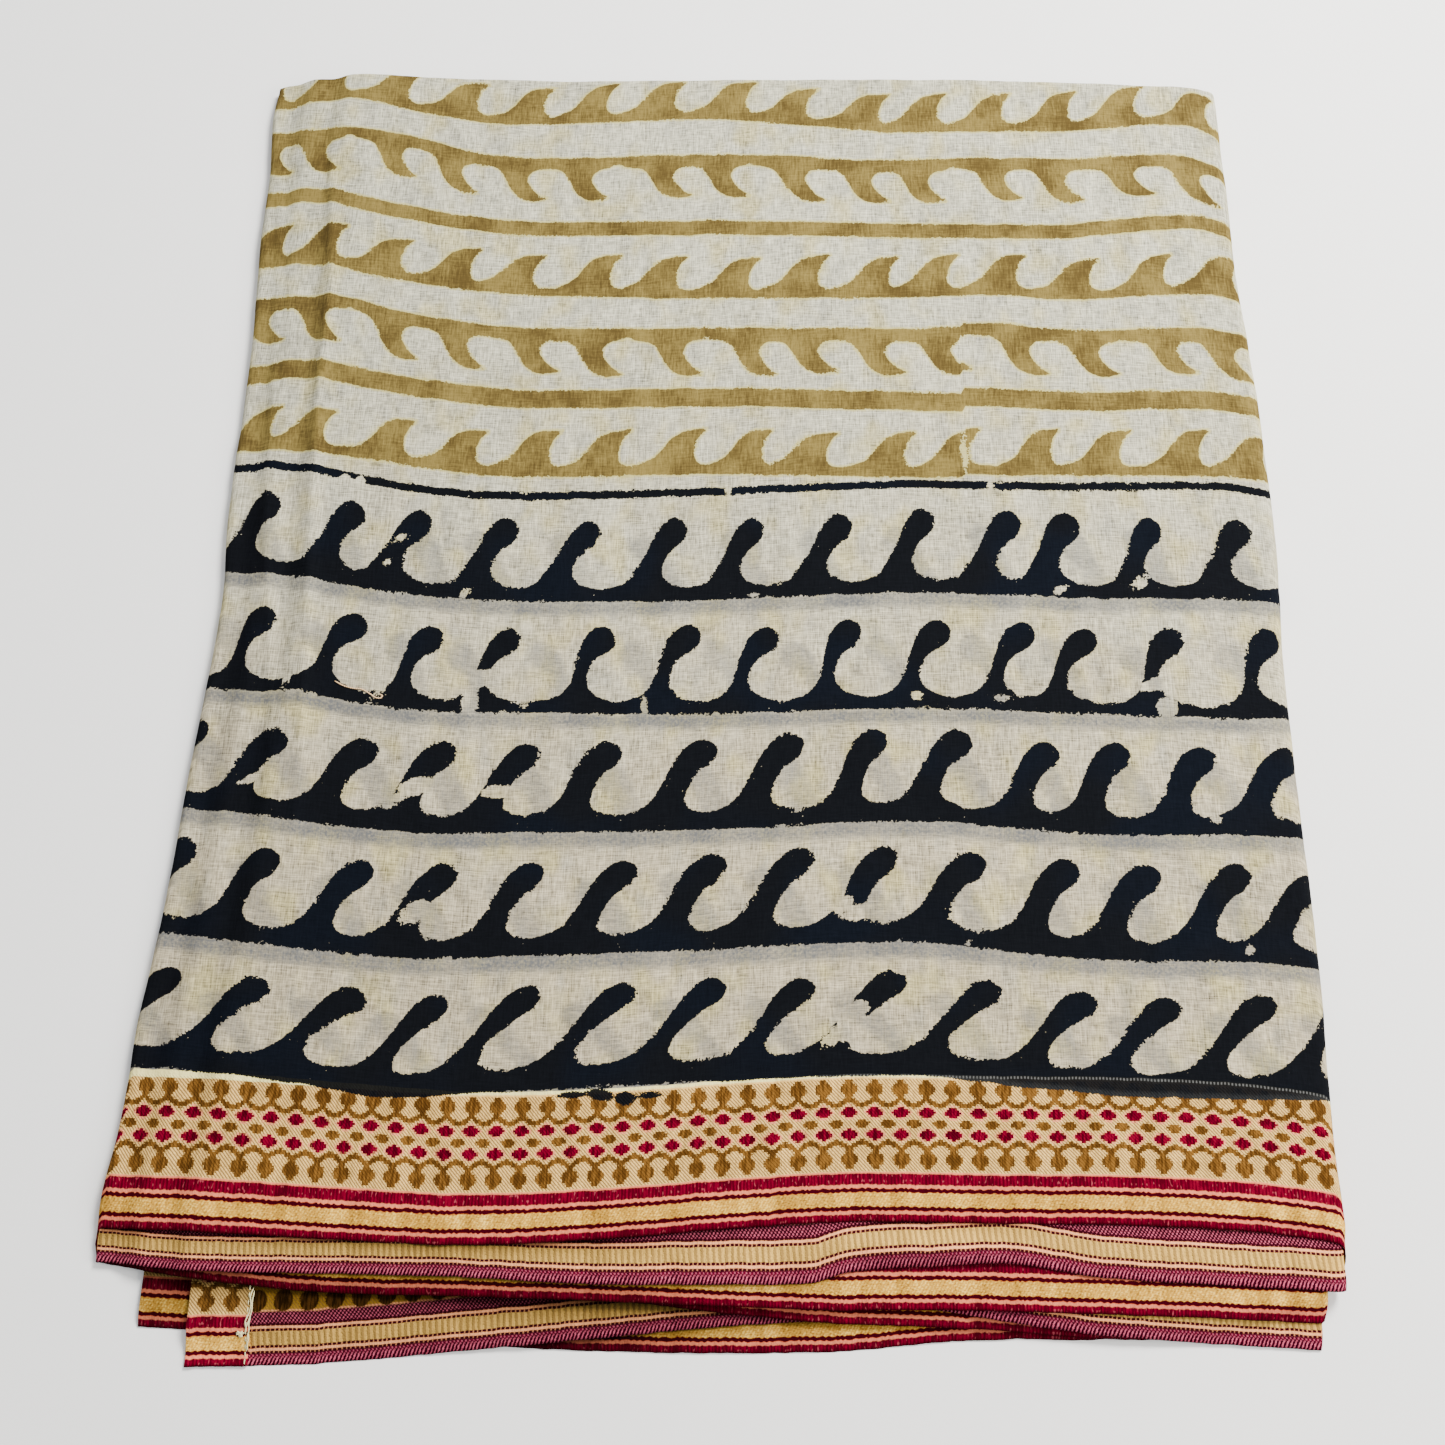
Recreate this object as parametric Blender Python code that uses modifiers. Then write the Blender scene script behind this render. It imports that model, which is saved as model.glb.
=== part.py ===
"""A block-printed cotton sarong, folded flat into a pack of eight layers.

The cloth is doubled selvedge to selvedge, which makes the far folds, and then folded in half twice
along its length, which makes the left and the right folds. Layer 1 is the top and layer 8 rests on
the floor. X runs across the pack, Y away from the selvedges that show, and Z up.
"""

import math

import bpy
import bmesh
from mathutils import Vector

# Cloth and stacking, in metres
CLOTH = 0.00115
PITCH = 0.0016
LAYERS = 8
GAP = 0.0003

# Tables are in millimetres, across from the middle of the pack and forward of its top near edge
MM = 0.001

# The pack's own frame is moved by this much, so that its box stands centred on the origin
SHIFT_X = -0.00278
SHIFT_Y = -0.24680

# Near edge of each layer: a row for each section across the pack
NEAR_COLUMNS = ("across", 1, 2, 3, 4, 5, 6, 7, 8)
NEAR_ROWS = (
    (-237, -2.8, -15.0, -16.0, -14.0, -16.0, -52.0, -36.5, -33.0),
    (-200, -3.4, -17.7, -21.9, -16.0, -18.0, -51.4, -38.5, -34.0),
    (-150, -4.8, -17.6, -25.7, -18.0, -19.0, -49.2, -40.0, -35.0),
    (-100, -5.8, -17.8, -25.8, -20.0, -21.0, -44.2, -41.5, -36.0),
    (-50, -3.2, -19.5, -26.2, -21.0, -24.0, -38.8, -42.8, -38.0),
    (0, 1.0, -17.5, -26.8, -22.0, -28.5, -33.4, -42.7, -38.0),
    (40, 4.4, -11.0, -27.0, -23.0, -31.3, -30.3, -41.5, -36.5),
    (80, 5.0, -7.0, -26.0, -26.0, -32.0, -27.0, -37.5, -33.0),
    (110, 3.8, -7.8, -26.0, -30.0, -33.0, -25.0, -35.6, -31.0),
    (140, 2.4, -13.2, -26.3, -33.4, -34.8, -23.5, -35.2, -30.0),
    (180, 0.5, -15.4, -26.8, -35.6, -34.5, -22.5, -33.0, -28.0),
    (236, -1.2, -17.0, -28.3, -38.0, -33.0, -22.0, -30.0, -26.0),
)

# Left and right fold lines: a row for each section along the pack
SIDE_COLUMNS = ("along", "left", "right")
SIDE_ROWS = (
    (-3, -237.0, 236.0),
    (65, -233.5, 237.0),
    (130, -231.0, 239.0),
    (200, -228.0, 239.4),
    (280, -226.0, 241.4),
    (360, -225.7, 242.0),
    (440, -227.7, 241.0),
    (500, -231.5, 238.5),
    (540, -232.5, 236.0),
)

# Far fold line: a row for each section across the pack
FAR_COLUMNS = ("across", "along")
FAR_ROWS = (
    (-235, 536.0),
    (-222, 542.0),
    (-170, 545.0),
    (0, 544.0),
    (127, 544.3),
    (200, 542.6),
    (225, 539.5),
    (240, 530.0),
)

# Ends of the cloth on the left, as a share of the pack's width
HEM_SHARE = {5: 0.076, 6: 0.076, 7: 0.036, 8: 0.036}

# How far past an edge below it a layer stays level, and then takes to come down
EDGE_KEEP = 0.0025
EDGE_DRAPE = 0.012
HEM_DRAPE = 0.013

# Folds: the pairs of layers that a right or left fold joins
RIGHT_PAIRS = {1: 8, 2: 7, 3: 6, 4: 5}
LEFT_PAIRS = {1: 4, 2: 3}
ROLL_END = math.radians(165)
ROLL_CLEAR = 0.00035
SMALLEST_ROLL = 0.002
LEFT_ROLL_STEPS = 6
RIGHT_ROLL_STEPS = 7
STRIP_ROLL_STEPS = 3

# Columns across the flat of the pack, as a share of its width; two of them lie on the hems
SHARES = (
    0.0075, 0.0170, 0.0265, 0.0360, 0.0460, 0.0560, 0.0660, 0.0760, 0.1000, 0.1180, 0.1600, 0.2100,
    0.2600, 0.3100, 0.3600, 0.4100, 0.4600, 0.5100, 0.5600, 0.6100, 0.6600, 0.7100, 0.7600, 0.8100,
    0.8600, 0.9100, 0.9500, 0.9745, 0.9868,
)
CORE_SHARES = SHARES[1:10] + SHARES[11:-3:2] + SHARES[-3:-1]
HEM_TURN_END = 0.118
HEM_TURN_ROWS = 4

# Rows along the pack, as a share of the way from the near edge to the far fold
ROW_SHARES = (
    0.0, 0.014, 0.03, 0.06, 0.11, 0.17, 0.23, 0.29, 0.35, 0.41, 0.47, 0.53, 0.59, 0.65, 0.71, 0.77,
    0.83, 0.88, 0.93, 0.97, 1.0,
)
FAR_ROLL_ANGLES = (30, 60, 90, 120, 150)
FAR_STATION = 0.54

# Border strips run from their edge to this line under the face panel
STRIP_BACK = 0.016
STRIP_ROWS = (0.0, 0.09, 0.18, 0.28, 0.42, 0.64, 1.0)
LAYERS_INSIDE = (3, 4, 5, 6)
CORE_FRONT = STRIP_BACK + GAP
CORE_ROWS = (CORE_FRONT, 0.03, 0.055, 0.09, 0.14, 0.19, 0.24, 0.29, 0.34, 0.39, 0.43, 0.47, 0.50, 0.53)

# Ends of the hidden layers inside the left and the right fold: angles from upright, in degrees
LEFT_NOSE = (75, 35)
RIGHT_NOSE = (20, 50, 80)
NOSE_CLEAR = 0.0003
NO_CEILING = 1.0
SHARP = math.radians(50)

# The raised stretch of layer 2's selvedge: where it is, how high and how wide
LIFT_ACROSS = (0.028, 0.126)
LIFT_ALONG = -0.0050
LIFT_REACH = 0.0075
LIFT_HEIGHT = 0.0022

# Soft ridges pressed into the face by the folds below: a row for each ridge
RIDGE_COLUMNS = ("across_near", "along_near", "across_far", "along_far", "half_width", "height")
RIDGE_ROWS = (
    (-193.0, 150.0, -219.0, 470.0, 6.0, 0.5),
    (-178.0, 110.0, -201.0, 530.0, 8.0, 0.7),
    (-12.0, 470.0, 38.0, 515.0, 16.0, 0.8),
    (96.0, 455.0, 118.0, 520.0, 10.0, 0.5),
    (190.0, 60.0, 206.0, 300.0, 16.0, 0.7),
    (-60.0, 20.0, -20.0, 90.0, 18.0, 0.6),
)

# Far side of the hidden layers, under the face's own fold: a row for each point, down to the floor
# setback is from the far fold line, and share is of the height of the six layers there
FAR_SHOULDER = 0.0044
FAR_LOBE_COLUMNS = ("setback", "share")
FAR_LOBE_ROWS = (
    (2.0, 1.00),
    (0.8, 0.92),
    (0.7, 0.80),
    (1.5, 0.70),
    (3.0, 0.66),
    (1.6, 0.62),
    (1.1, 0.50),
    (1.8, 0.37),
    (3.0, 0.33),
    (2.1, 0.29),
    (1.7, 0.16),
    (2.6, 0.04),
    (3.4, 0.00),
)

COLLECTION = "folded_sarong"

# Base colour, roughness and metallic value of each piece's material
FINISH = {
    "face_panel": ((0.74, 0.70, 0.60, 1.0), 0.92, 0.0),
    "border_front": ((0.52, 0.10, 0.13, 1.0), 0.85, 0.0),
    "border_reverse": ((0.40, 0.17, 0.27, 1.0), 0.90, 0.0),
    "hem_turn": ((0.62, 0.42, 0.22, 1.0), 0.88, 0.0),
    "inner_folds": ((0.68, 0.64, 0.55, 1.0), 0.93, 0.0),
}


def line_at(columns, rows, column, station):
    """One column of a table at a station between its rows, on a smooth line through them."""
    index = columns.index(column)
    places = [row[0] for row in rows]
    values = [row[index] for row in rows]
    station = min(max(station, places[0]), places[-1])
    last = len(places) - 2
    i = 0
    while i < last and station > places[i + 1]:
        i += 1

    def slope(j):
        low = max(j - 1, 0)
        high = min(j + 1, len(places) - 1)
        return (values[high] - values[low]) / (places[high] - places[low])

    span = places[i + 1] - places[i]
    t = (station - places[i]) / span
    start = (2 * t**3 - 3 * t**2 + 1) * values[i] + (t**3 - 2 * t**2 + t) * span * slope(i)
    end = (3 * t**2 - 2 * t**3) * values[i + 1] + (t**3 - t**2) * span * slope(i + 1)
    return start + end


def near_edge(layer, x):
    return MM * line_at(NEAR_COLUMNS, NEAR_ROWS, layer, x / MM)


def fold_line(side, y):
    return MM * line_at(SIDE_COLUMNS, SIDE_ROWS, side, y / MM)


def far_line(x):
    return MM * line_at(FAR_COLUMNS, FAR_ROWS, "along", x / MM)


def across(share, y):
    """The place across the pack of a share of its width."""
    return (1 - share) * fold_line("left", y) + share * fold_line("right", y)


def eased(t):
    """0 up to t = -1, 1 from t = 0, and smooth between."""
    t = min(max(t + 1, 0.0), 1.0)
    return t * t * (3 - 2 * t)


def bump(t):
    """1 at t = 0, falling smoothly to 0 at t = 1 and t = -1."""
    return (1 - t * t) ** 2 if abs(t) < 1 else 0.0


def presence(layer, share, y):
    """How much of a layer's pitch lifts what lies on it: 1 on the layer, easing to 0 past its edges."""
    x = across(share, y)
    there = eased((y - near_edge(layer, x) + EDGE_KEEP) / EDGE_DRAPE)
    if layer in HEM_SHARE:
        width = fold_line("right", y) - fold_line("left", y)
        there *= eased((share - HEM_SHARE[layer]) * width / HEM_DRAPE)
    return there


def lift(x, y):
    """The raised stretch of layer 2's selvedge."""
    middle = sum(LIFT_ACROSS) / 2
    half = (LIFT_ACROSS[1] - LIFT_ACROSS[0]) / 2
    return LIFT_HEIGHT * bump((x - middle) / half) * bump((y - LIFT_ALONG) / LIFT_REACH)


def ridge(x, y):
    """The soft ridges on the face."""
    total = 0.0
    for row in RIDGE_ROWS:
        cell = {column: MM * value for column, value in zip(RIDGE_COLUMNS, row)}
        near = Vector((cell["across_near"], cell["along_near"]))
        run = Vector((cell["across_far"], cell["along_far"])) - near
        place = Vector((x, y)) - near
        along = place.dot(run) / run.length_squared
        beside = (place - along * run).length / cell["half_width"]
        total += cell["height"] * bump(beside) * bump(2 * along - 1)
    return total


def fold_radius(upper, lower):
    """Radius of the fold that joins two layers, at the middle of the cloth."""
    return PITCH * (lower - upper) / 2


def middle_height(layer, share, y):
    """Height of a layer's middle surface above the floor."""
    stacked = sum(presence(below, share, y) for below in range(layer + 1, LAYERS + 1))
    height = PITCH * stacked + CLOTH / 2
    if layer == 2:
        height += lift(across(share, y), y)
    if layer == 1:
        height += ridge(across(share, y), y)
    return height


def flat_point(layer, share, y):
    return Vector((across(share, y), y, middle_height(layer, share, y)))


def roll_point(upper, lower, side, share, angle, y):
    """A point on the fold that joins two layers, at an angle from its upper layer, and its outward way."""
    sign = 1 if side == "right" else -1
    top = flat_point(upper, share, y)
    bottom = middle_height(lower, share, y)
    radius = (top.z - bottom) / 2
    middle = (top.z + bottom) / 2
    out = Vector((sign * math.sin(angle), 0, math.cos(angle)))
    return Vector((top.x + sign * radius * math.sin(angle), y, middle + radius * math.cos(angle))), out


def edge_between(upper, lower, x, angle):
    """The near edge, which runs from one layer's edge to the other's round the fold."""
    turn = (1 - math.cos(angle)) / 2
    return (1 - turn) * near_edge(upper, x) + turn * near_edge(lower, x)


def angles(first, last, count):
    return [first + (last - first) * (i + 1) / count for i in range(count)]


def new_object(name, mesh, finish):
    obj = bpy.data.objects.new(name, mesh)
    bpy.data.collections[COLLECTION].objects.link(obj)
    mesh.materials.append(material(finish))
    return obj


def material(name):
    made = bpy.data.materials.get(name)
    if made:
        return made
    colour, roughness, metallic = FINISH[name]
    made = bpy.data.materials.new(name)
    made.use_nodes = True
    shader = made.node_tree.nodes["Principled BSDF"]
    shader.inputs["Base Color"].default_value = colour
    shader.inputs["Roughness"].default_value = roughness
    shader.inputs["Metallic"].default_value = metallic
    return made


def sheet(name, columns, finish):
    """An open surface through columns of points, made a wall by Solidify."""
    mesh = bpy.data.meshes.new(name)
    rows = len(columns[0])
    points = [point + Vector((SHIFT_X, SHIFT_Y, 0)) for column in columns for point in column]
    faces = []
    for c in range(len(columns) - 1):
        for r in range(rows - 1):
            a = c * rows + r
            faces.append((a, a + rows, a + rows + 1, a + 1))
    mesh.from_pydata(points, [], faces)
    obj = new_object(name, mesh, finish)
    solidify = obj.modifiers.new("wall", "SOLIDIFY")
    solidify.thickness = CLOTH
    solidify.offset = 0
    solidify.use_even_offset = True
    solidify.use_rim = True
    mesh.shade_smooth()
    return obj


def face_columns():
    """Columns of the face panel: the left roll, the flat and the right roll."""
    columns = [("left", SHARES[0], angle) for angle in reversed(angles(0, ROLL_END, LEFT_ROLL_STEPS))]
    columns += [("flat", share, 0) for share in SHARES]
    columns += [("right", SHARES[-1], angle) for angle in angles(0, ROLL_END, RIGHT_ROLL_STEPS)]
    return columns


def face_panel():
    """Layer 1, over the pack and down round its left, right and far folds."""
    result = []
    for side, share, angle in face_columns():
        lower = LEFT_PAIRS[1] if side == "left" else RIGHT_PAIRS[1]
        near_x = across(share, 0)
        near = edge_between(1, lower, near_x, angle)
        far_roll = fold_radius(1, 2)
        far = far_line(across(share, FAR_STATION)) - far_roll - CLOTH / 2
        column = []
        for row in ROW_SHARES:
            y = near + (far - near) * row
            if side == "flat":
                point, out = flat_point(1, share, y), Vector((0, 0, 1))
            else:
                point, out = roll_point(1, lower, side, share, angle, y)
            column.append(point)
        for degrees in FAR_ROLL_ANGLES:
            turn = math.radians(degrees)
            inward = -far_roll * (1 - math.cos(turn)) * out
            column.append(point + inward + Vector((0, far_roll * math.sin(turn), 0)))
        result.append(column)
    return sheet("face_panel", result, "face_panel")


def strip_rows(near):
    return [near + (STRIP_BACK - near) * row for row in STRIP_ROWS]


def roll_columns(layer, pairs, side, share):
    """Columns of a strip's half of a fold, from the flat outwards, where the fold is wide enough."""
    upper, lower = next((a, b) for a, b in pairs.items() if layer in (a, b))
    radius = fold_radius(upper, lower)
    if radius < SMALLEST_ROLL:
        return []
    half = math.acos(ROLL_CLEAR / radius)
    start, end = (0, half) if layer == upper else (math.pi, math.pi - half)
    result = []
    for angle in angles(start, end, STRIP_ROLL_STEPS):
        near = edge_between(upper, lower, across(share, 0), angle)
        result.append([roll_point(upper, lower, side, share, angle, y)[0] for y in strip_rows(near)])
    return result


def border_strip(layer, name, finish):
    """The border of a layer under the face panel, from its selvedge back to the hidden layers."""
    first = HEM_SHARE.get(layer, SHARES[0])
    last = SHARES[-2] if layer in LAYERS_INSIDE else SHARES[-1]
    shares = [share for share in SHARES if first <= share <= last]
    columns = []
    for share in shares:
        near = near_edge(layer, across(share, 0))
        columns.append([flat_point(layer, share, y) for y in strip_rows(near)])
    if layer != LAYERS:
        columns += roll_columns(layer, RIGHT_PAIRS, "right", shares[-1])
    return sheet(name, columns, finish)


def hem_turn():
    """The end of the cloth, turned over once onto the reverse of layer 6."""
    columns = []
    for share in [s for s in SHARES if HEM_SHARE[6] <= s <= HEM_TURN_END]:
        rows = strip_rows(near_edge(6, across(share, 0)))[:HEM_TURN_ROWS]
        columns.append([flat_point(6, share, y) + Vector((0, 0, CLOTH + GAP)) for y in rows])
    return sheet("hem_turn", columns, "hem_turn")


def core_section(share, shift, low, high, lobed):
    """A closed section of the hidden layers, as its top, far and bottom points."""
    top = []
    for y in CORE_ROWS:
        point = flat_point(1, share, y)
        ceiling = point.z - ridge(point.x, y) - CLOTH / 2 - GAP
        top.append(Vector((point.x + shift, y, min(ceiling, high))))
    x = across(share, CORE_ROWS[-1])
    far_y = far_line(x)
    shoulder = min(top[-1].z, middle_height(1, share, far_y) - 2 * PITCH)
    far = [Vector((x + shift, far_y - FAR_SHOULDER, top[-1].z))]
    for row in FAR_LOBE_ROWS:
        cell = dict(zip(FAR_LOBE_COLUMNS, row))
        back = MM * cell["setback"] if lobed else FAR_SHOULDER
        far.append(Vector((x + shift, far_y - back, low + (shoulder - low) * cell["share"])))
    bottom = [Vector((across(share, y) + shift, y, low)) for y in reversed(CORE_ROWS)]
    return top, far, bottom


def core_sections():
    """Sections across the pack: the left nose, the flat and the right nose."""
    clear = 2 * GAP
    half = CLOTH / 2
    left_fold = fold_radius(1, LEFT_PAIRS[1])
    right_fold = fold_radius(1, RIGHT_PAIRS[1])
    left_middle, left_radius = half + left_fold, left_fold - half - GAP
    right_middle, right_radius = half + right_fold, right_fold - half - 1.5 * GAP
    result = []
    for degrees in LEFT_NOSE:
        turn = math.radians(degrees)
        drop = left_radius * math.cos(turn)
        shift = NOSE_CLEAR - left_radius * math.sin(turn)
        result.append((SHARES[0], shift, left_middle - drop, left_middle + drop, False))
    result.append((SHARES[0], clear / 2, left_middle - left_radius, NO_CEILING, False))
    result.append((SHARES[0], clear, 0.0, NO_CEILING, True))
    result += [(share, 0.0, 0.0, NO_CEILING, True) for share in CORE_SHARES]
    result.append((SHARES[-1], -clear, 0.0, NO_CEILING, True))
    result.append((SHARES[-1], -clear / 2, right_middle - right_radius, NO_CEILING, False))
    for degrees in RIGHT_NOSE:
        turn = math.radians(degrees)
        drop = right_radius * math.cos(turn)
        shift = right_radius * math.sin(turn) - NOSE_CLEAR
        result.append((SHARES[-1], shift, right_middle - drop, right_middle + drop, False))
    return [core_section(*row) for row in result]


def inner_folds():
    """The hidden layers as one rounded solid, lofted across the pack."""
    built = bmesh.new()
    rings = []
    for section in core_sections():
        points = [point for stretch in section for point in stretch]
        rings.append([built.verts.new(point + Vector((SHIFT_X, SHIFT_Y, 0))) for point in points])
    count = len(rings[0])
    rows = len(CORE_ROWS)
    for left, right in zip(rings, rings[1:]):
        for i in range(count):
            j = (i + 1) % count
            built.faces.new((left[i], right[i], right[j], left[j]))
    for ring in (rings[0], rings[-1]):
        for i in range(rows - 1):
            built.faces.new((ring[i], ring[i + 1], ring[count - 2 - i], ring[count - 1 - i]))
        built.faces.new(ring[rows - 1:count - rows + 1])
    bmesh.ops.recalc_face_normals(built, faces=built.faces)
    mesh = bpy.data.meshes.new("inner_folds")
    built.to_mesh(mesh)
    built.free()
    mesh.shade_smooth()
    mesh.set_sharp_from_angle(angle=SHARP)
    return new_object("inner_folds", mesh, "inner_folds")


def main():
    for obj in list(bpy.data.objects):
        bpy.data.objects.remove(obj, do_unlink=True)
    group = bpy.data.collections.new(COLLECTION)
    bpy.context.scene.collection.children.link(group)
    face_panel()
    for layer in range(2, LAYERS + 1):
        side = "reverse" if layer % 2 == 0 else "front"
        border_strip(layer, f"border_{layer}_{side}", f"border_{side}")
    hem_turn()
    inner_folds()


main()
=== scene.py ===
"""The looks of a block-printed cotton sarong that lies folded flat.

The cloth is built in the pack's own frame, in millimetres: X across the pack from its middle, Y away
from the near edge of the top layer, Z up from the floor. Layer 1 is the top and layer 8 the lowest.
place() moves points from there to the row frame, in metres. Each vertex keeps where it is on the
cloth, as cloth_u across and cloth_v from the selvedge. Those of the face and the underside also keep
how deep they are in the ink of the print.
"""

import math

import bpy
import numpy as np
from mathutils import Matrix, Vector


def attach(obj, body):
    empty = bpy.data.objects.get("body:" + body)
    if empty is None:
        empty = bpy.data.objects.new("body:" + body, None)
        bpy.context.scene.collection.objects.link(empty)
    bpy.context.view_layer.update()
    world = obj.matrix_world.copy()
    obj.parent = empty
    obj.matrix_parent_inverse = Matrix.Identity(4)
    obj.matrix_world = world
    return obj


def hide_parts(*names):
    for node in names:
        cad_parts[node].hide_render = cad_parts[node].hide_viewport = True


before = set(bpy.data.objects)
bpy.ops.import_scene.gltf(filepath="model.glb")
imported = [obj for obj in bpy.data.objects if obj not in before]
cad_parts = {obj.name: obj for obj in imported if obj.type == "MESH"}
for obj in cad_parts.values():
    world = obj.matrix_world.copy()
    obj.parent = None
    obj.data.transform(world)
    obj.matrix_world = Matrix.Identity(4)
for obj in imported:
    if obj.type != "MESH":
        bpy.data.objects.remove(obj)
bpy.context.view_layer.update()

MM = 0.001

# The pack's frame in the row frame, in millimetres
SHIFT_X = -2.78
SHIFT_Y = -246.80

# The pack's width between its fold lines, and the depths that share out the rows of the grids
PACK_WIDTH = 473.0
FIELD_DEPTH = 489.0
UNDER_DEPTH = 565.0

# Stacking of the solids, the room that one sheet of cloth takes, and its gap above the floor
WALL = 1.15
PITCH = 1.6
LAYERS = 8
CLOTH = 0.4
FLOOR_GAP = 0.03

# Near edge of each layer: across, then layers 1 to 8
NEAR_ROWS = (
    (-240, -2.6, -14.6, -14.8, -14.0, -16.0, -52.0, -36.5, -33.0),
    (-200, -3.6, -17.4, -20.2, -16.0, -18.0, -51.4, -38.5, -34.0),
    (-150, -5.4, -17.6, -24.2, -18.0, -19.0, -49.2, -40.0, -35.0),
    (-100, -6.6, -17.8, -24.6, -20.0, -21.0, -44.2, -41.5, -36.0),
    (-50, -3.8, -19.4, -25.2, -21.0, -24.0, -38.8, -42.8, -38.0),
    (0, 1.0, -18.6, -26.2, -22.0, -28.5, -33.4, -42.7, -38.0),
    (34, 3.8, -17.4, -26.8, -22.8, -31.0, -30.8, -41.7, -37.0),
    (48, 4.7, -13.2, -26.8, -23.4, -31.6, -29.6, -41.0, -36.0),
    (80, 5.0, -10.6, -26.0, -26.0, -32.0, -27.0, -37.5, -33.0),
    (110, 5.0, -9.2, -26.0, -30.0, -33.0, -25.0, -35.6, -31.0),
    (140, 5.4, -13.2, -26.3, -33.4, -34.8, -23.5, -35.2, -30.0),
    (180, 4.8, -15.0, -26.8, -35.6, -34.5, -22.5, -30.0, -26.0),
    (212, 2.9, -16.0, -27.6, -36.8, -33.6, -22.2, -20.0, -17.0),
    (238, -0.8, -17.2, -28.3, -38.0, -33.0, -22.0, -12.0, -10.0),
)

# Fold lines: along, then left and right
SIDE_ROWS = (
    (-3, -241.3, 236.0),
    (10, -240.8, 236.2),
    (31, -238.4, 235.4),
    (54, -236.8, 235.7),
    (78, -236.6, 236.2),
    (103, -234.0, 237.2),
    (130, -232.2, 236.8),
    (184, -230.0, 236.0),
    (240, -226.9, 236.0),
    (269, -226.6, 237.6),
    (299, -228.9, 238.6),
    (361, -229.2, 237.4),
    (393, -229.1, 236.2),
    (425, -230.8, 234.0),
    (458, -232.3, 233.4),
    (490, -232.4, 233.4),
    (522, -234.8, 233.0),
    (540, -233.8, 232.4),
)
LEFT, RIGHT = 1, 2

# Far fold line: across, along
FAR_ROWS = (
    (-236, 540.0),
    (-226, 543.6),
    (-190, 545.8),
    (-150, 543.4),
    (-85, 542.0),
    (-45, 542.6),
    (0, 543.6),
    (90, 544.8),
    (127, 544.3),
    (200, 542.0),
    (225, 539.5),
    (240, 530.0),
)
FAR_STATION = 540.0

# Where the cloth ends or its side folds begin, as shares of the width, and the layers that they join
HEM_SHARE = {5: 0.0872, 6: 0.0872, 7: 0.0456, 8: 0.0456}
HEM_TURN_END = 0.1358
FIRST_SHARE = 0.0075
LAST_SHARE = 0.9868
INSET_SHARE = {3: 0.0115, 4: 0.0125, 5: 0.0125, 6: 0.0115}
RIGHT_PAIRS = {1: 8, 2: 7, 3: 6, 4: 5}
LEFT_PAIRS = {1: 4, 2: 3}

# How a layer comes down past an edge or a hem below it, and onto the layer below at its own edge
EDGE_KEEP = 0.8
EDGE_DRAPE = 8.0
HEM_DRAPE = 12.0
DROOP = PITCH - CLOTH
DROOP_REACH = 7.0
DROOP_UNEVEN = 0.35
DROOP_SPAN = (23, 160)

# How uneven the near edges are, and the shortest and longest of their waves
EDGE_UNEVEN = 0.18
EDGE_SPAN = (6, 40)

# The raised stretch of layer 2's selvedge
LIFT_ACROSS = (28.0, 126.0)
LIFT_ALONG = -5.0
LIFT_REACH = 7.5
LIFT_HEIGHT = 3.2

# How much the border is drawn out along the cloth: across, layer 1, layer 2
STRETCH_ROWS = (
    (-240, 1.098, 0.86),
    (-200, 1.083, 0.88),
    (-150, 1.055, 0.92),
    (-75, 1.024, 1.0),
    (0, 1.006, 1.12),
    (60, 1.0, 1.13),
    (110, 1.0, 1.08),
    (240, 1.0, 1.05),
)

# Where the woven figures of the face have moved across, and how far
SHIFT_ROWS = (
    (-224, -3.8), (-214, -3.4), (-204, -2.3), (-194, -1.6), (-184, -0.9), (-174, -0.5), (-100, -1.0),
    (-28, -1.5), (31, -2.4), (100, -1.3), (177, 0.0), (187, 0.4), (197, 1.0), (207, 1.5), (217, 2.0),
    (227, 2.0),
)

# Soft ridges pressed into the face: across and along of both ends, half width, height
RIDGES = (
    (-193.0, 150.0, -219.0, 470.0, 6.0, 0.5),
    (-178.0, 110.0, -201.0, 530.0, 8.0, 0.7),
    (-12.0, 470.0, 38.0, 515.0, 16.0, 0.8),
    (96.0, 455.0, 118.0, 520.0, 10.0, 0.5),
    (190.0, 60.0, 206.0, 300.0, 16.0, 0.7),
    (-60.0, 20.0, -20.0, 90.0, 18.0, 0.6),
)

# Creases of earlier folds: points across and along, then half width and height
CREASES = (
    (((-228, 510), (-221, 447), (-213, 347), (-209, 295), (-200, 239), (-193, 185), (-192, 150)), 3.0, 0.9),
    (((-203, 532), (-192, 420), (-192, 368), (-187, 295), (-182, 212), (-179, 149), (-182, 120)), 3.4, 1.15),
    (((-178, 482), (-174, 438)), 2.4, 0.5),
    (((104, 486), (111, 446)), 2.2, 0.4),
    (((98, 405), (99, 367), (98.5, 322)), 2.0, 0.3),
    (((-120, 300), (-117, 262), (-119, 214)), 2.2, 0.25),
    (((30, 180), (34, 150), (33, 112)), 2.4, 0.25),
)
CREASE_START, CREASE_STOP = 0.12, 0.2
CREASE_SHARP = 0.45

# Unevenness all over the face: height, seed, shortest and longest wave
FACE_RIPPLES = ((0.26, 3, 24, 150), (0.06, 4, 7, 20))

# Width of the woven border, steps of the grids, and what turns under at the folds and edges
BORDER = 54.9
FACE_STEP = 1.8
STRIP_STEP = 2.0
STRIP_ROW_STEP = 1.5
UNDER_STEP = 2.6
TUCK_STEP = 4.0
TIGHT_TURN = 0.5
TUCK = 40.0
FAR_TURNS = (25, 50, 75, 100, 125, 150)
STRIP_BACK = 16.0
LIP = 0.3
LIP_BACK = 0.1
LIP_CLEAR = 0.02

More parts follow.
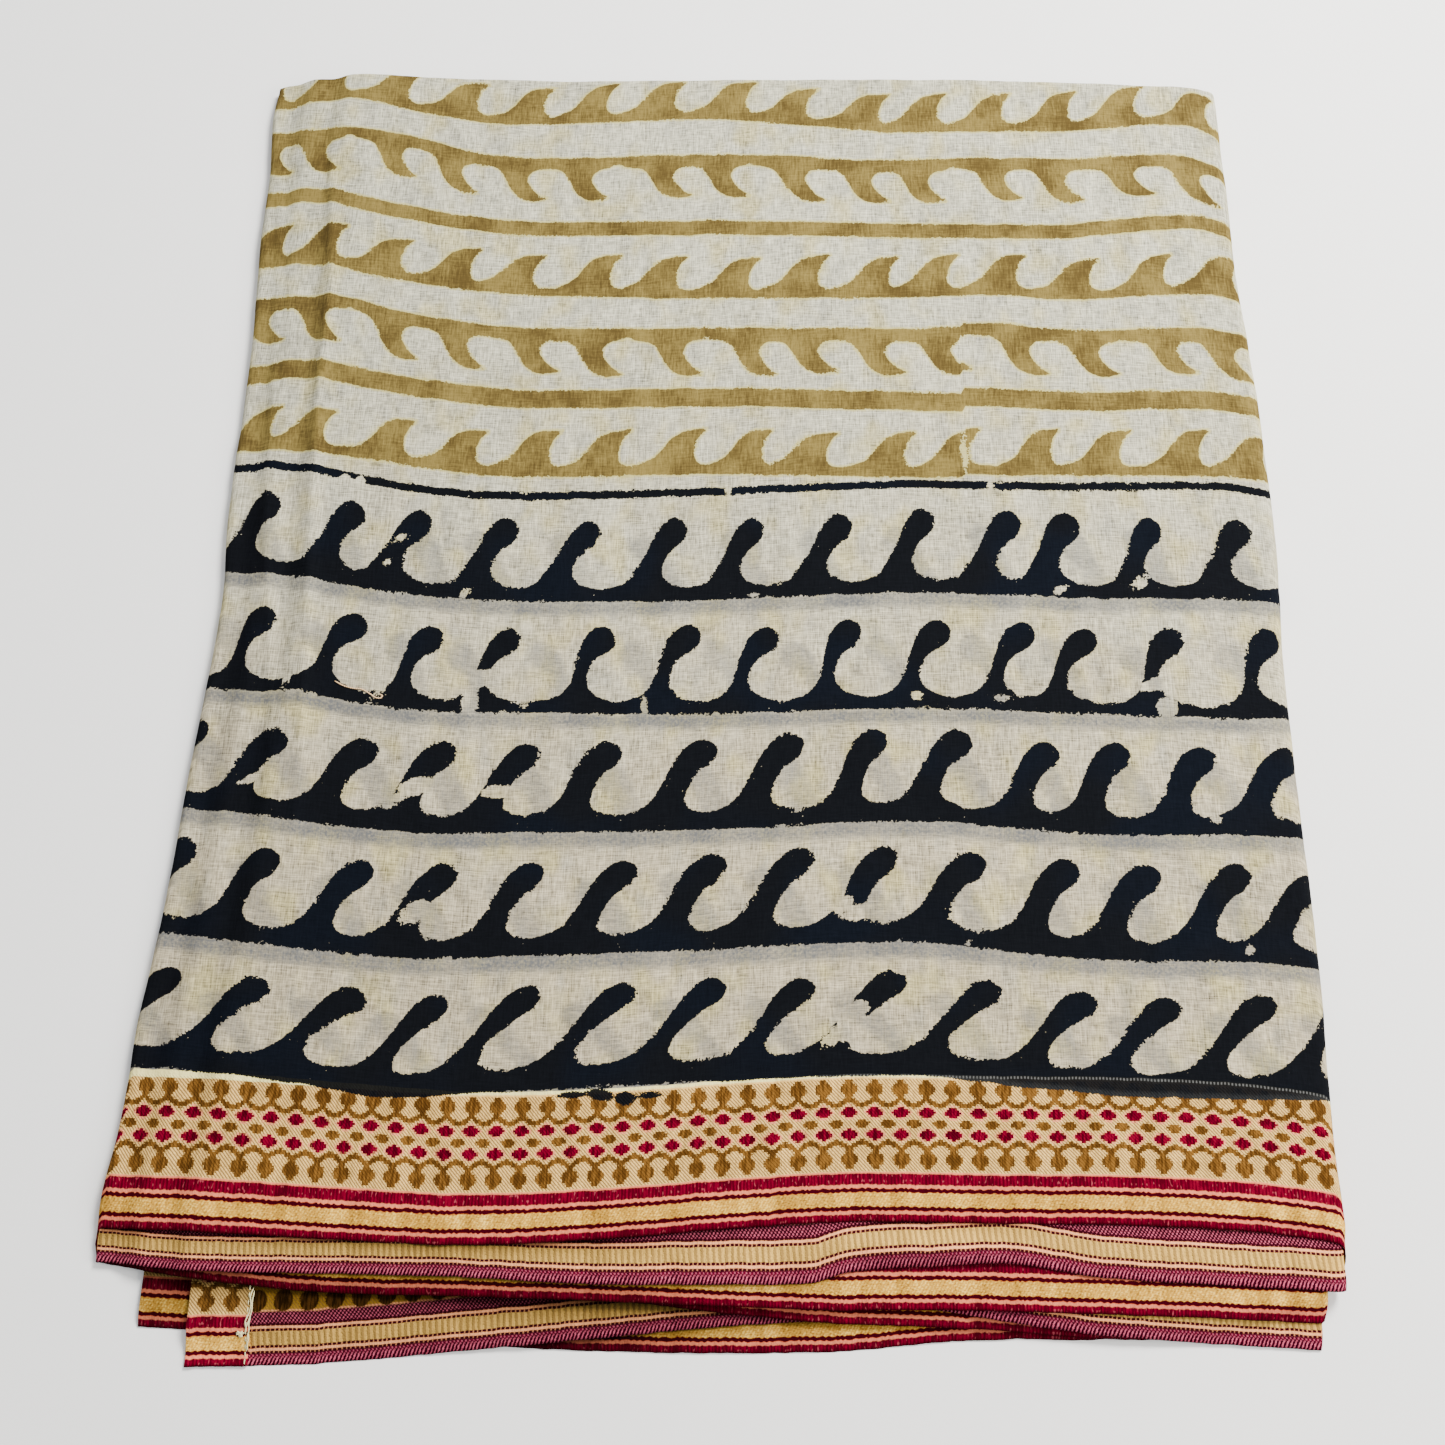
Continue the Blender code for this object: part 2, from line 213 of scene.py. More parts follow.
# The turned hem, the far folds of the hidden layers, the ends of the lowest ones, and the underside
HEM_RADIUS = 0.5
HEM_WIDTH = (HEM_TURN_END - HEM_SHARE[6]) * PACK_WIDTH
HEM_DEPTH = STRIP_BACK + 50
HEM_STEP = 1.2
FOLD_STEP = 4.0
FOLD_DEPTH = 30.0
FOLD_INSETS = {3: 1.2, 5: 2.0, 7: 3.0}
FOLD_FIRST, FOLD_LAST = 0.03, 0.975
END_DEPTH = 26.0
END_TURN = 20.0
END_STEP = 3.0
END_RADIUS = 0.4
UNDER_NEAR, UNDER_FAR = 0.4, 3.5


def line_at(rows, column, station):
    """A column of a table at stations between its rows, on a smooth line through them."""
    table = np.array(rows, float)
    places, values = table[:, 0], table[:, column]
    count = len(places)
    low = np.maximum(np.arange(count) - 1, 0)
    high = np.minimum(np.arange(count) + 1, count - 1)
    slopes = (values[high] - values[low]) / (places[high] - places[low])
    station = np.clip(station, places[0], places[-1])
    i = np.clip(np.searchsorted(places, station, side="right") - 1, 0, count - 2)
    span = places[i + 1] - places[i]
    t = (station - places[i]) / span
    start = (2 * t**3 - 3 * t**2 + 1) * values[i] + (t**3 - 2 * t**2 + t) * span * slopes[i]
    end = (3 * t**2 - 2 * t**3) * values[i + 1] + (t**3 - t**2) * span * slopes[i + 1]
    return start + end


def near_edge(layer, x):
    return line_at(NEAR_ROWS, layer, x)


def far_line(x):
    return line_at(FAR_ROWS, 1, x)


def across(share, y):
    """The place across the pack of a share of its width."""
    return (1 - share) * line_at(SIDE_ROWS, LEFT, y) + share * line_at(SIDE_ROWS, RIGHT, y)


def pack_width(y):
    """The width of the pack between its fold lines."""
    return line_at(SIDE_ROWS, RIGHT, y) - line_at(SIDE_ROWS, LEFT, y)


def smooth(low, high, value):
    """0 below low, 1 above high and smooth between."""
    t = np.clip((value - low) / (high - low), 0, 1)
    return t * t * (3 - 2 * t)


def bump(t):
    """1 at t = 0, falling smoothly to 0 at t = 1 and t = -1."""
    return np.where(np.abs(t) < 1, (1 - t * t) ** 2, 0)


def wander(x, seed, shortest, longest, count=7):
    """An uneven line between about -1 and 1, the same on each run."""
    rng = np.random.default_rng(seed)
    total = np.zeros_like(np.asarray(x, float))
    for length, turn in zip(np.geomspace(shortest, longest, count), rng.uniform(0, 2 * math.pi, count)):
        total = total + np.sin(2 * math.pi * x / length + turn)
    return total / math.sqrt(2 * count)


def ripple(x, y, seed, shortest, longest, count=16):
    """An uneven surface between about -1 and 1, the same on each run."""
    rng = np.random.default_rng(seed)
    total = np.zeros_like(np.asarray(x, float))
    for length in np.geomspace(shortest, longest, count):
        way, turn = rng.uniform(0, 2 * math.pi, 2)
        total = total + np.sin(2 * math.pi * (x * math.cos(way) + y * math.sin(way)) / length + turn)
    return total / math.sqrt(count)


def presence(layer, share, y):
    """How much of a layer's pitch lifts what lies on it: 1 on the layer, easing to 0 past its edges."""
    edge = near_edge(layer, across(share, y)) - EDGE_KEEP
    there = smooth(edge - EDGE_DRAPE, edge, y)
    if layer in HEM_SHARE:
        there = there * smooth(-HEM_DRAPE, 0, (share - HEM_SHARE[layer]) * pack_width(y))
    return there


def lift(x, y):
    """The raised stretch of layer 2's selvedge."""
    middle = sum(LIFT_ACROSS) / 2
    half = (LIFT_ACROSS[1] - LIFT_ACROSS[0]) / 2
    return LIFT_HEIGHT * bump((x - middle) / half) * bump((y - LIFT_ALONG) / LIFT_REACH)


def ridge(x, y):
    """The soft ridges on the face."""
    total = 0.0
    for x0, y0, x1, y1, half_width, height in RIDGES:
        length = math.hypot(x1 - x0, y1 - y0)
        way_x, way_y = (x1 - x0) / length, (y1 - y0) / length
        along = ((x - x0) * way_x + (y - y0) * way_y) / length
        beside = ((x - x0) * way_y - (y - y0) * way_x) / half_width
        total = total + height * bump(beside) * bump(2 * along - 1)
    return total


def creases(x, y):
    """Sharp lines left by earlier folds, fading out at their ends."""
    total = 0.0
    for points, half_width, height in CREASES:
        nearest = np.full(np.shape(x), 1e9)
        along = np.zeros(np.shape(x))
        lengths = [math.dist(a, b) for a, b in zip(points, points[1:])]
        done = 0.0
        for (a, b), length in zip(zip(points, points[1:]), lengths):
            way = ((b[0] - a[0]) / length, (b[1] - a[1]) / length)
            t = np.clip((x - a[0]) * way[0] + (y - a[1]) * way[1], 0, length)
            gap = np.hypot(x - a[0] - t * way[0], y - a[1] - t * way[1])
            closer = gap < nearest
            nearest = np.where(closer, gap, nearest)
            along = np.where(closer, done + t, along)
            done += length
        share = along / sum(lengths)
        fading = smooth(0, CREASE_START, share) * smooth(0, CREASE_STOP, 1 - share)
        rise = np.clip(1 - nearest / half_width, 0, 1)
        total = total + height * fading * (CREASE_SHARP * rise + (1 - CREASE_SHARP) * rise**2)
    return total


def layer_height(layer, share, y):
    """Height of the middle of a layer of cloth above the floor."""
    x = across(share, y)
    height = WALL / 2 + PITCH * sum(presence(below, share, y) for below in range(layer + 1, LAYERS + 1))
    inward = y - near_edge(layer, x)
    uneven = 1 - DROOP_UNEVEN * (0.5 + 0.5 * wander(x, 10 + layer, *DROOP_SPAN))
    height = height - DROOP * uneven * (1 - smooth(0, DROOP_REACH, inward))
    if layer == 2:
        height = height + lift(x, y)
    if layer == 1:
        height = height + ridge(x, y) + creases(x, y)
        for tall, seed, shortest, longest in FACE_RIPPLES:
            height = height + tall * ripple(x, y, seed, shortest, longest)
    return np.maximum(height, CLOTH / 2 + FLOOR_GAP)


def steps(first, last, size):
    """Evenly spaced places from first to last, about one size apart."""
    return np.linspace(first, last, max(2, round(abs(last - first) / size) + 1))


def layer_columns(layer, step, first=FIRST_SHARE, last=LAST_SHARE, left_to=None, right_to=None, tuck=0.0):
    """Columns of a layer: share, side (-1, 0 or 1), angle round the fold, tuck past it."""
    columns = []
    if left_to:
        radius = PITCH * (left_to - layer) / 2
        if tuck:
            columns += [(first, -1, math.pi, t) for t in steps(tuck, TUCK_STEP, TUCK_STEP)]
        angles = steps(math.pi, 0, step / radius if radius > step else TIGHT_TURN)
        columns += [(first, -1, angle, 0.0) for angle in angles[:-1]]
    columns += [(share, 0, 0.0, 0.0) for share in steps(first, last, step / PACK_WIDTH)]
    if right_to:
        radius = PITCH * (right_to - layer) / 2
        angles = steps(0, math.pi, step / radius if radius > step else TIGHT_TURN)
        columns += [(last, 1, angle, 0.0) for angle in angles[1:]]
    return np.array(columns)


def layer_points(layer, columns, border_rows, field_rows=None, left_to=None, right_to=None, far_roll=0.0):
    """Points of a layer with cloth_u and cloth_v, its near edge and how far its border is drawn out."""
    share, side, angle, tuck = (columns[:, i][:, None] for i in range(4))
    lower = np.where(side < 0, left_to or layer, right_to or layer)
    turn = (1 - np.cos(angle)) / 2
    x_near = across(share, 0)
    edges = np.zeros_like(share)
    for other in {layer, left_to or layer, right_to or layer}:
        edges = np.where(lower == other, near_edge(other, x_near), edges)
    near = (1 - turn) * near_edge(layer, x_near) + turn * np.where(side == 0, near_edge(layer, x_near), edges)
    near = near + EDGE_UNEVEN * wander(x_near, 40 + layer, *EDGE_SPAN)
    drawn = line_at(STRETCH_ROWS, layer, x_near) if layer < 3 else 1 + 0 * x_near
    y = near + border_rows[None, :] * drawn
    if field_rows is not None:
        far = far_line(across(share, FAR_STATION)) - far_roll - CLOTH / 2
        field = near + BORDER * drawn + (far - near - BORDER * drawn) * field_rows[None, :]
        y = np.concatenate([y, field], axis=1)
    rows = y.shape[1]
    share = np.repeat(share, rows, axis=1)
    top = layer_height(layer, share, y)
    low = np.zeros_like(top)
    for other in {left_to, right_to} - {None}:
        low = np.where(lower == other, layer_height(other, share, y), low)
    radius = np.where(side == 0, 0, (top - low) / 2)
    x_edge = across(share, y)
    x = x_edge + side * radius * np.sin(angle) - side * tuck
    z = np.where(side == 0, top, top - radius * (1 - np.cos(angle)))
    reach = PITCH * (lower - layer) / 2
    u = x_edge + side * (reach * angle + tuck)
    v = (y - near) / drawn
    v = np.where(v > BORDER, y - near - (drawn - 1) * BORDER, v)
    return x, y, z, u, v, near, drawn


def far_fold(x, y, z, u, v, side, angle, radius, turns):
    """Rows that carry the cloth round its far fold, bending in from the outside of the pack."""
    out_x, out_z = side * np.sin(angle), np.cos(angle)
    parts = [[x], [y], [z], [u], [v]]
    for turn in turns:
        inward = -radius * (1 - math.cos(turn))
        parts[0].append(x[:, -1:] + inward * out_x)
        parts[1].append(y[:, -1:] + radius * math.sin(turn))
        parts[2].append(z[:, -1:] + inward * out_z)
        parts[3].append(u[:, -1:])
        parts[4].append(v[:, -1:] + radius * turn)
    return [np.concatenate(part, axis=1) for part in parts]


def with_lip(x, y, z, u, v):
    """A first row under the selvedge, which gives the edge its thickness and stays above the floor."""
    under = np.maximum(z[:, :1] - LIP, LIP_CLEAR)
    firsts = ((x, x[:, :1]), (y, y[:, :1] + LIP_BACK), (z, under), (u, u[:, :1]), (v, v[:, :1]))
    return [np.concatenate([first, part], axis=1) for part, first in firsts]


def place(x, y, z):
    points = np.stack([x + SHIFT_X, y + SHIFT_Y, z], axis=-1).reshape(-1, 3)
    return points * MM


def grid_faces(columns, rows):
    c, r = np.meshgrid(np.arange(columns - 1), np.arange(rows - 1), indexing="ij")
    a = (c * rows + r).ravel()
    return np.stack([a, a + rows, a + rows + 1, a + 1], axis=1)


def new_piece(name, points, faces, materials, attributes):
    """A mesh object from points and faces, riding the root body, with values on its vertices."""
    mesh = bpy.data.meshes.new(name)
    mesh.from_pydata(points.tolist(), [], faces.tolist())
    for label, values in attributes.items():
        layer = mesh.attributes.new(label, "FLOAT", "POINT")
        layer.data.foreach_set("value", np.ascontiguousarray(values, dtype=np.float32).ravel())
    for made in materials:
        mesh.materials.append(made)
    mesh.shade_smooth()
    piece = bpy.data.objects.new(name, mesh)
    bpy.context.scene.collection.objects.link(piece)
    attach(piece, "root")
    return piece


def grid_piece(name, x, y, z, u, v, materials, extra):
    values = {"cloth_u": u, "cloth_v": v, **extra}
    return new_piece(name, place(x, y, z), grid_faces(*x.shape), materials, values)


# The print in the pack's frame: the outer edge of each row of waves, the middle of each plain line

PRINT_STATIONS = (-225, -205, -185, -165, -130, -95, -15, 72, 120, 155, 212, 235)
PRINT_LINES = {
    "black_5": (57.8, 55.8, 54.2, 51.6, 47.2, 49.6, 55, 59.2, 55.4, 53, 52.5, 53),
    "black_4": (111.5, 109, 106.5, 104.5, 102, 103, 107, 112, 108, 106, 106, 104),
    "black_3": (165, 162.5, 159.5, 157, 154, 154.5, 157, 162.5, 160, 158, 158.5, 157.5),
    "black_2": (219, 217, 216, 212, 207.5, 207.5, 208, 212, 211.5, 210.5, 209.5, 210),
    "black_1": (274.5, 272.5, 269, 265, 260.5, 259, 260.5, 265.5, 265, 264, 264.5, 263),
    "black_line": (326, 326, 322, 317.5, 312, 310.5, 313.5, 318.5, 318.5, 318.5, 319.5, 316.5),
    "ochre_5": (335, 334, 331, 328, 322.5, 320, 322.5, 322.5, 323.5, 324, 324.5, 322.5),
    "ochre_line_2": (374.5, 377, 373.5, 369, 363, 360, 362, 362, 362.5, 362, 363.5, 360),
    "ochre_4": (416.5, 416.5, 414.5, 408.5, 401, 398, 399, 400.5, 402.5, 399.5, 402, 397.5),
    "ochre_3": (434.5, 434.5, 430, 425, 419, 416, 415.5, 417, 418.5, 416.5, 420.5, 416.5),
    "ochre_line_1": (473.5, 474, 468.5, 463.5, 456.5, 453.5, 455, 454.5, 454.5, 455, 461, 454),
    "ochre_2": (513.5, 513, 511.5, 508, 498, 494.5, 497.5, 495, 497, 497, 499.5, 489),
    "ochre_1": (528.5, 531, 529, 523.5, 516, 515, 519, 512, 513, 513.5, 518, 508),
}

# Where two printings of the ochre block meet, the lines step
JOIN_AT = 102.0
JOIN_REACH = 26.0
JOIN_STEPS = {"ochre_line_2": 1.7, "ochre_4": 1.1, "ochre_5": 0.8}

# How uneven the lines are, and the shortest and longest of their waves
LINE_UNEVEN = 0.3
LINE_SPAN = (14, 60)

# How far outside the ink counts as clear of it, and how deep a wave of the ghost can be
FAR_OUT = -9.0
GHOST_DEEP = 0.9

# The waves: how uneven they are in width, height and lean, and how far round its head each reaches
UNEVEN_WIDE, UNEVEN_TALL, UNEVEN_LEAN = 0.07, 0.035, 0.07
WAVE_BESIDE = 12
WAVE_BELOW, WAVE_ABOVE = -8, 56
WAVE_FOOT = -6.0
LEAN_FROM = 34

# Outlines of the waves, from a bay round the crest to the next bay: across from the head, then height
UPRIGHT = (
    (-29, 0), (-29, 5.4), (-19.7, 8.6), (-16.8, 12.6), (-14.6, 16.5), (-12.3, 20.5), (-10.4, 25),
    (-8.6, 30), (-6.0, 35.2), (-3.2, 38.6), (0.6, 40.2), (3.9, 38.4), (6.0, 35.4), (6.0, 32), (4.2, 28),
    (0.2, 24.8), (-2.7, 20.5), (-4.0, 16), (-3.2, 11.8), (0.2, 8.2), (7.4, 5.4), (7.4, 0),
)
LEANING = (
    (-33, 0), (-33, 6.5), (-23.6, 9.2), (-18.4, 13.6), (-15.4, 19), (-13, 24.5), (-10.3, 30.6), (-6.4, 36),
    (-2.4, 38.8), (2, 39.1), (5.9, 36.4), (6.4, 33), (4, 28.6), (-0.8, 25), (-3.9, 19.6), (-5.4, 14),
    (-3.9, 9.6), (3.4, 6.6), (3.4, 0),
)
LONG = (
    (-42, 0), (-42, 8), (-33.5, 10), (-26.2, 14.6), (-20.4, 20.6), (-15.9, 26.4), (-11, 33), (-6, 37.8),
    (-0.6, 39.9), (4.2, 38.4), (6, 35.2), (3.2, 31), (-2.8, 27.4), (-8.8, 22.8), (-13.2, 18.6),
    (-15.4, 14.6), (-15.2, 11.4), (-11.4, 8.4), (-5.5, 7.6), (-5.5, 0),
)
SLIM = (
    (-27, 0), (-27, 4.6), (-18.6, 6.8), (-14.4, 10), (-12.2, 14), (-11, 18.5), (-10, 23.5), (-8.8, 29),
    (-7, 34.4), (-3.6, 38.4), (0.6, 40.2), (4.4, 38.6), (6.4, 35), (6, 31.4), (3, 28), (-1.4, 25.2),
    (-4.2, 21), (-5.2, 16), (-4.2, 11.4), (0.2, 7.6), (7.4, 5), (7.4, 0),
)
CREST = (
    (-29, 0), (-29, 4.9), (-22.4, 8.4), (-17.9, 13.6), (-14, 18.6), (-9.2, 21.6), (-4.6, 22.4), (1.4, 22.9),
    (-1.2, 20.2), (-3.2, 16.6), (-4.4, 12), (-4.2, 8.2), (-2.2, 4.9), (1.2, 3.4), (5, 3.9), (5, 0),
)
FINGER = (
    (-31.3, 0), (-31.3, 5.6), (-22.4, 7.8), (-18.4, 13.2), (-15.6, 18.8), (-12, 22.8), (-7.4, 24.7),
    (-2.8, 24.6), (1.6, 23.8), (-1.9, 21.6), (-5.3, 18), (-7.6, 13.6), (-7.2, 10.4), (-4.6, 7.4), (1.6, 5.6),
    (1.6, 0),
)

# Rows of waves: outline, way up, lean, thickness of the base, step past the ends, places of the heads
WAVES = {
    "black_5": (LONG, 1, 0.0, 8.0, 36.6, (
        -224.5, -187.5, -148.5, -115.5, -79.5, -42, -6, 29.5, 65, 103, 140.5, 173, 210.5)),
    "black_4": (LEANING, 1, 0.12, 6.0, 36.2, (
        -227, -190, -151, -117, -81.5, -44, -8, 27.5, 62, 98, 135.5, 168, 204.5, 235)),
    "black_3": (LEANING, 1, 0.04, 5.6, 36.0, (
        -193, -154.5, -121.5, -86.5, -52.5, -12.5, 23.5, 59, 94, 130.5, 159.5, 194.5, 230)),
    "black_2": (SLIM, 1, 0.05, 4.6, 36.6, (
        -205, -164.5, -131, -97.5, -57, -20.5, 13, 48.5, 86.5, 122.5, 149, 185.5, 227)),
    "black_1": (UPRIGHT, 1, 0.0, 5.4, 36.6, (
        -209.5, -170.5, -140.5, -102, -65.5, -27.5, 6.5, 45, 81.5, 119, 144.5, 181, 219.5)),
    "ochre_5": (CREST, 1, 0.0, 4.2, 32.6, (
        -209.5, -183.5, -147, -114, -81, -49, -15.5, 14.5, 44.5, 79.5, 109, 143, 176.5, 211, 239)),
    "ochre_4": (FINGER, -1, 0.0, 4.8, 32.4, (
        -213, -186.5, -149.5, -117.5, -83, -54, -17.5, 16, 45, 75.5, 105.5, 140, 173.5, 209, 235.5)),
    "ochre_3": (CREST, 1, 0.0, 3.8, 32.6, (
        -216.5, -188.5, -157, -124, -92, -57.5, -26, 9, 41, 73.5, 102, 133, 166.5, 201, 234.5)),
    "ochre_2": (FINGER, -1, 0.0, 4.4, 32.2, (
        -221, -196.5, -158.5, -129, -95, -65.5, -25.5, 3, 39.5, 70, 95.5, 132.5, 163, 196.5, 226.5)),
    "ochre_1": (CREST, 1, 0.0, 4.0, 32.4, (
        -226, -193.5, -159.5, -127.5, -94.5, -62, -30, 4.5, 36.5, 70, 97.5, 129, 161.5, 194.5, 228)),
}
LINE_HALF = {"ochre_line_2": 4.7, "ochre_line_1": 3.9}
BLACK_LINE_HALF = 2.0

# Where the block took no ink: across, along, half sizes, turn in degrees
BARE = (
    (-104.5, 223, 8.5, 4.0, 0), (-113.5, 219.5, 7, 3.2, 20), (-110.8, 211.5, 3.4, 7, 0),
    (180, 225, 8, 2.8, 20), (183, 214, 4.5, 4.5, 30), (-37, 211, 1.3, 5, 4), (-200, 178, 6, 1.8, 25),
    (-131, 174, 8, 3.8, 20),
    (-140, 168, 5, 2.6, 30), (-96, 172.5, 7.5, 2.8, 5), (199, 165, 2.4, 2.0, 0), (-126, 121, 7, 4.2, 30),
    (53.5, 124, 8, 3.2, 15), (45, 133, 2.4, 8, -20), (208, 111, 2, 1.9, 0), (54, 77, 12.5, 4.8, 8),
    (50, 84, 7, 3.6, 25), (46, 127, 5, 3.4, 30),
    (43, 74, 6, 2.6, 30), (-175, 317.5, 3.2, 2.8, 0), (-168, 317, 2.4, 2.8, 0), (-3.5, 314, 1.3, 3.2, 0),
    (113, 318.5, 1.3, 3.2, 0), (102, 334, 1.6, 9.5, 3), (8.5, 263.2, 2.6, 1.2, 0), (15, 262.4, 2.0, 1.1, 10),
    (43, 263.4, 3.8, 1.2, 5), (-88, 211, 1.3, 1.2, 0), (96, 112, 1.4, 1.2, 0), (-182, 116, 2.6, 1.8, 20),
    (-150, 216, 3.4, 1.2, 50), (62, 224, 1.4, 3.4, 10), (141, 268, 3.6, 1.8, 30), (-190, 222, 1.6, 3.2, -20),
    (-147, 289, 3.0, 1.6, 20), (-152, 277, 2.0, 1.4, 60), (176, 272, 4.2, 2.4, 40), (16, 286, 1.4, 3.6, 10),
    (114, 217, 3.4, 1.6, 0), (78, 218, 2.6, 2.0, 0), (-117, 262, 2.4, 1.6, 40), (-58, 268, 1.6, 2.8, 10),
)

# Blots of ink below the lowest black band, in the same terms
SMUDGES = (
    (-59, 49.6, 7, 1.5, 3), (-48, 49.8, 6, 2.3, -8), (-38.5, 48.6, 4, 2.8, 0), (-29, 50.2, 6, 1.4, 4),
)

# The layer below shows through, mirrored: this much nearer, wider in its base, and moved across
GHOST_NEARER = 7.0
GHOST_WIDER = 3.0
GHOST_ACROSS = 6.0

# Shade of the layers above on a lower one: reach and depth, and what the left adds to each
SHADE_REACH, SHADE_REACH_LEFT = 0.9, 2.0
SHADE_DEPTH, SHADE_DEPTH_LEFT = 0.5, 0.36
SHADE_MIDDLE = 60

# How much further off a layer above counts, past its own end
PAST_END = 9


def smooth_line(points, parts, first, last):
    """Points on a smooth line through given ones from first to last, some to each span, without its end."""
    result = []
    for i in range(first, last):
        before, a = points[max(i - 1, first)], points[i]
        b, after = points[i + 1], points[min(i + 2, last)]
        for t in np.arange(parts) / parts:
            result.append(0.5 * (2 * a + (b - before) * t + (2 * before - 5 * a + 4 * b - after) * t**2
                                 + (3 * a - before - 3 * b + after) * t**3))
    return result


def rounded(points, parts=4):
    """A closed outline made smooth through its points, but for its two feet."""
    points = np.array(points, float)
    return np.array([points[0], *smooth_line(points, parts, 1, len(points) - 2), points[-2], points[-1]])


def inside(x, y, outline):
    """Signed distance to a closed outline, above 0 inside it."""
    ax, ay = outline[:, 0], outline[:, 1]
    bx, by = np.roll(ax, -1), np.roll(ay, -1)
    way_x, way_y = bx - ax, by - ay
    gap_x, gap_y = x[:, None] - ax, y[:, None] - ay
    t = np.clip((gap_x * way_x + gap_y * way_y) / (way_x**2 + way_y**2 + 1e-9), 0, 1)
    nearest = np.hypot(gap_x - t * way_x, gap_y - t * way_y).min(axis=1)
    crosses = (ay > y[:, None]) != (by > y[:, None])
    at = ax + (y[:, None] - ay) * way_x / np.where(by == ay, 1e-9, by - ay)
    odd = (crosses & (x[:, None] < at)).sum(axis=1) % 2
    return np.where(odd == 1, nearest, -nearest)


def shade(layer, x, y):
    """How dim a layer is beside the edges of the layers above it: 1 well clear of them."""
    total = 1.0
    for above in range(1, layer):
        clear = np.maximum(near_edge(above, x) - y, 0)
        clear = np.where(x < across(HEM_SHARE.get(above, FIRST_SHARE), y), clear + PAST_END, clear)
        left = 1 - smooth(-SHADE_MIDDLE, SHADE_MIDDLE, x)
        reach = (SHADE_REACH + SHADE_REACH_LEFT * left) * (layer - above + 0.4)
        depth = SHADE_DEPTH + SHADE_DEPTH_LEFT * left
        total = total * (1 - depth * np.exp(-clear / reach) / (layer - above) ** 0.5)
    return total


def line_of(name, u):
    """The outer edge of a row of waves, or the middle of a plain line, across the cloth."""
    table = np.column_stack([PRINT_STATIONS, PRINT_LINES[name]])
    seed = sorted(PRINT_LINES).index(name)
    beside = u - JOIN_AT
    step = JOIN_STEPS.get(name, 0.0) * np.sign(beside) * np.exp(-np.abs(beside) / JOIN_REACH)
    return line_at(table, 1, u) + LINE_UNEVEN * wander(u, 70 + seed, *LINE_SPAN) + step


def spots(u, y, rows):
    """Signed distance to the nearest of some oval spots, about, above 0 inside them."""
    total = np.full(u.shape, FAR_OUT)
    for x0, y0, half_x, half_y, turn in rows:
        c, s = math.cos(math.radians(turn)), math.sin(math.radians(turn))
        a = ((u - x0) * c + (y - y0) * s) / half_x
        b = ((y - y0) * c - (u - x0) * s) / half_y
        total = np.maximum(total, (1 - np.hypot(a, b)) * min(half_x, half_y))
    return total


def joined(a, b, reach=2.6):
    """The larger of two distances, with the corner between them rounded."""
    share = np.clip(0.5 + 0.5 * (b - a) / reach, 0, 1)
    return a * (1 - share) + b * share + reach * share * (1 - share)


def wave_row(name, u, y, mirrored=False):
    """Signed distance to the ink of a row of waves, above 0 in the ink."""
    outline, way, lean, base, pitch, heads = WAVES[name]
    outline = rounded(outline)
    outline[[0, -1], 1] = WAVE_FOOT
    if mirrored:
        heads = [GHOST_ACROSS - head for head in reversed(heads)]
    heads = list(heads)
    while heads[0] > u.min() - pitch:
        heads.insert(0, heads[0] - pitch)
    while heads[-1] < u.max() + pitch:
        heads.append(heads[-1] + pitch)
    flip = -1 if mirrored else 1
    q = way * (y - line_of(name, u) + (GHOST_NEARER if mirrored else 0.0))
    if mirrored:
        base = base + GHOST_WIDER
    total = np.maximum(base - q, FAR_OUT)
    rng = np.random.default_rng(sum(map(ord, name)))
    low, high = outline[:, 0].min() - WAVE_BESIDE, outline[:, 0].max() + WAVE_BESIDE
    for head in heads:
        wide = 1 + rng.uniform(-UNEVEN_WIDE, UNEVEN_WIDE)
        tall = 1 + rng.uniform(-UNEVEN_TALL, UNEVEN_TALL)
        leaning = rng.uniform(-UNEVEN_LEAN, UNEVEN_LEAN)
        x = flip * (u - head)
        near = (x > low) & (x < high) & (q > WAVE_BELOW) & (q < WAVE_ABOVE)
        if near.any():
            height = q[near] / tall
            place_x = (x[near] - (lean + leaning) * (height - LEAN_FROM)) / wide
            wave = inside(place_x, height, outline) + 0.15
            total[near] = joined(total[near], np.minimum(wave, GHOST_DEEP) if mirrored else wave)
    return np.maximum(np.minimum(total, q), FAR_OUT)


def print_values(u, y):
    """What the print puts on each vertex, in millimetres."""
    shape = u.shape
    u, y = u.ravel(), y.ravel()
    black, ochre, ghost = (np.full(u.shape, FAR_OUT) for _ in range(3))
    for name in WAVES:
        if name.startswith("black"):
            black = np.maximum(black, wave_row(name, u, y))
            ghost = np.maximum(ghost, wave_row(name, u, y, mirrored=True))
        else:
            ochre = np.maximum(ochre, wave_row(name, u, y))
    black = np.maximum(black, spots(u, y, SMUDGES))
    black_line = y - line_of("black_line", u)
    upper, lower = line_of("ochre_line_1", u), line_of("ochre_line_2", u)
    ochre_line = np.where(y > (upper + lower) / 2,
                          np.abs(y - upper) - LINE_HALF["ochre_line_1"],
                          np.abs(y - lower) - LINE_HALF["ochre_line_2"])
    return {
        "ink_black": black.reshape(shape),
        "ink_ochre": np.maximum(ochre, -ochre_line).reshape(shape),
        "line_black": np.clip(black_line, -20, 20).reshape(shape),
        "ghost": ghost.reshape(shape),
        "bare": spots(u, y, BARE).reshape(shape),
    }


# Materials: base colours as linear values, for the light of this scene

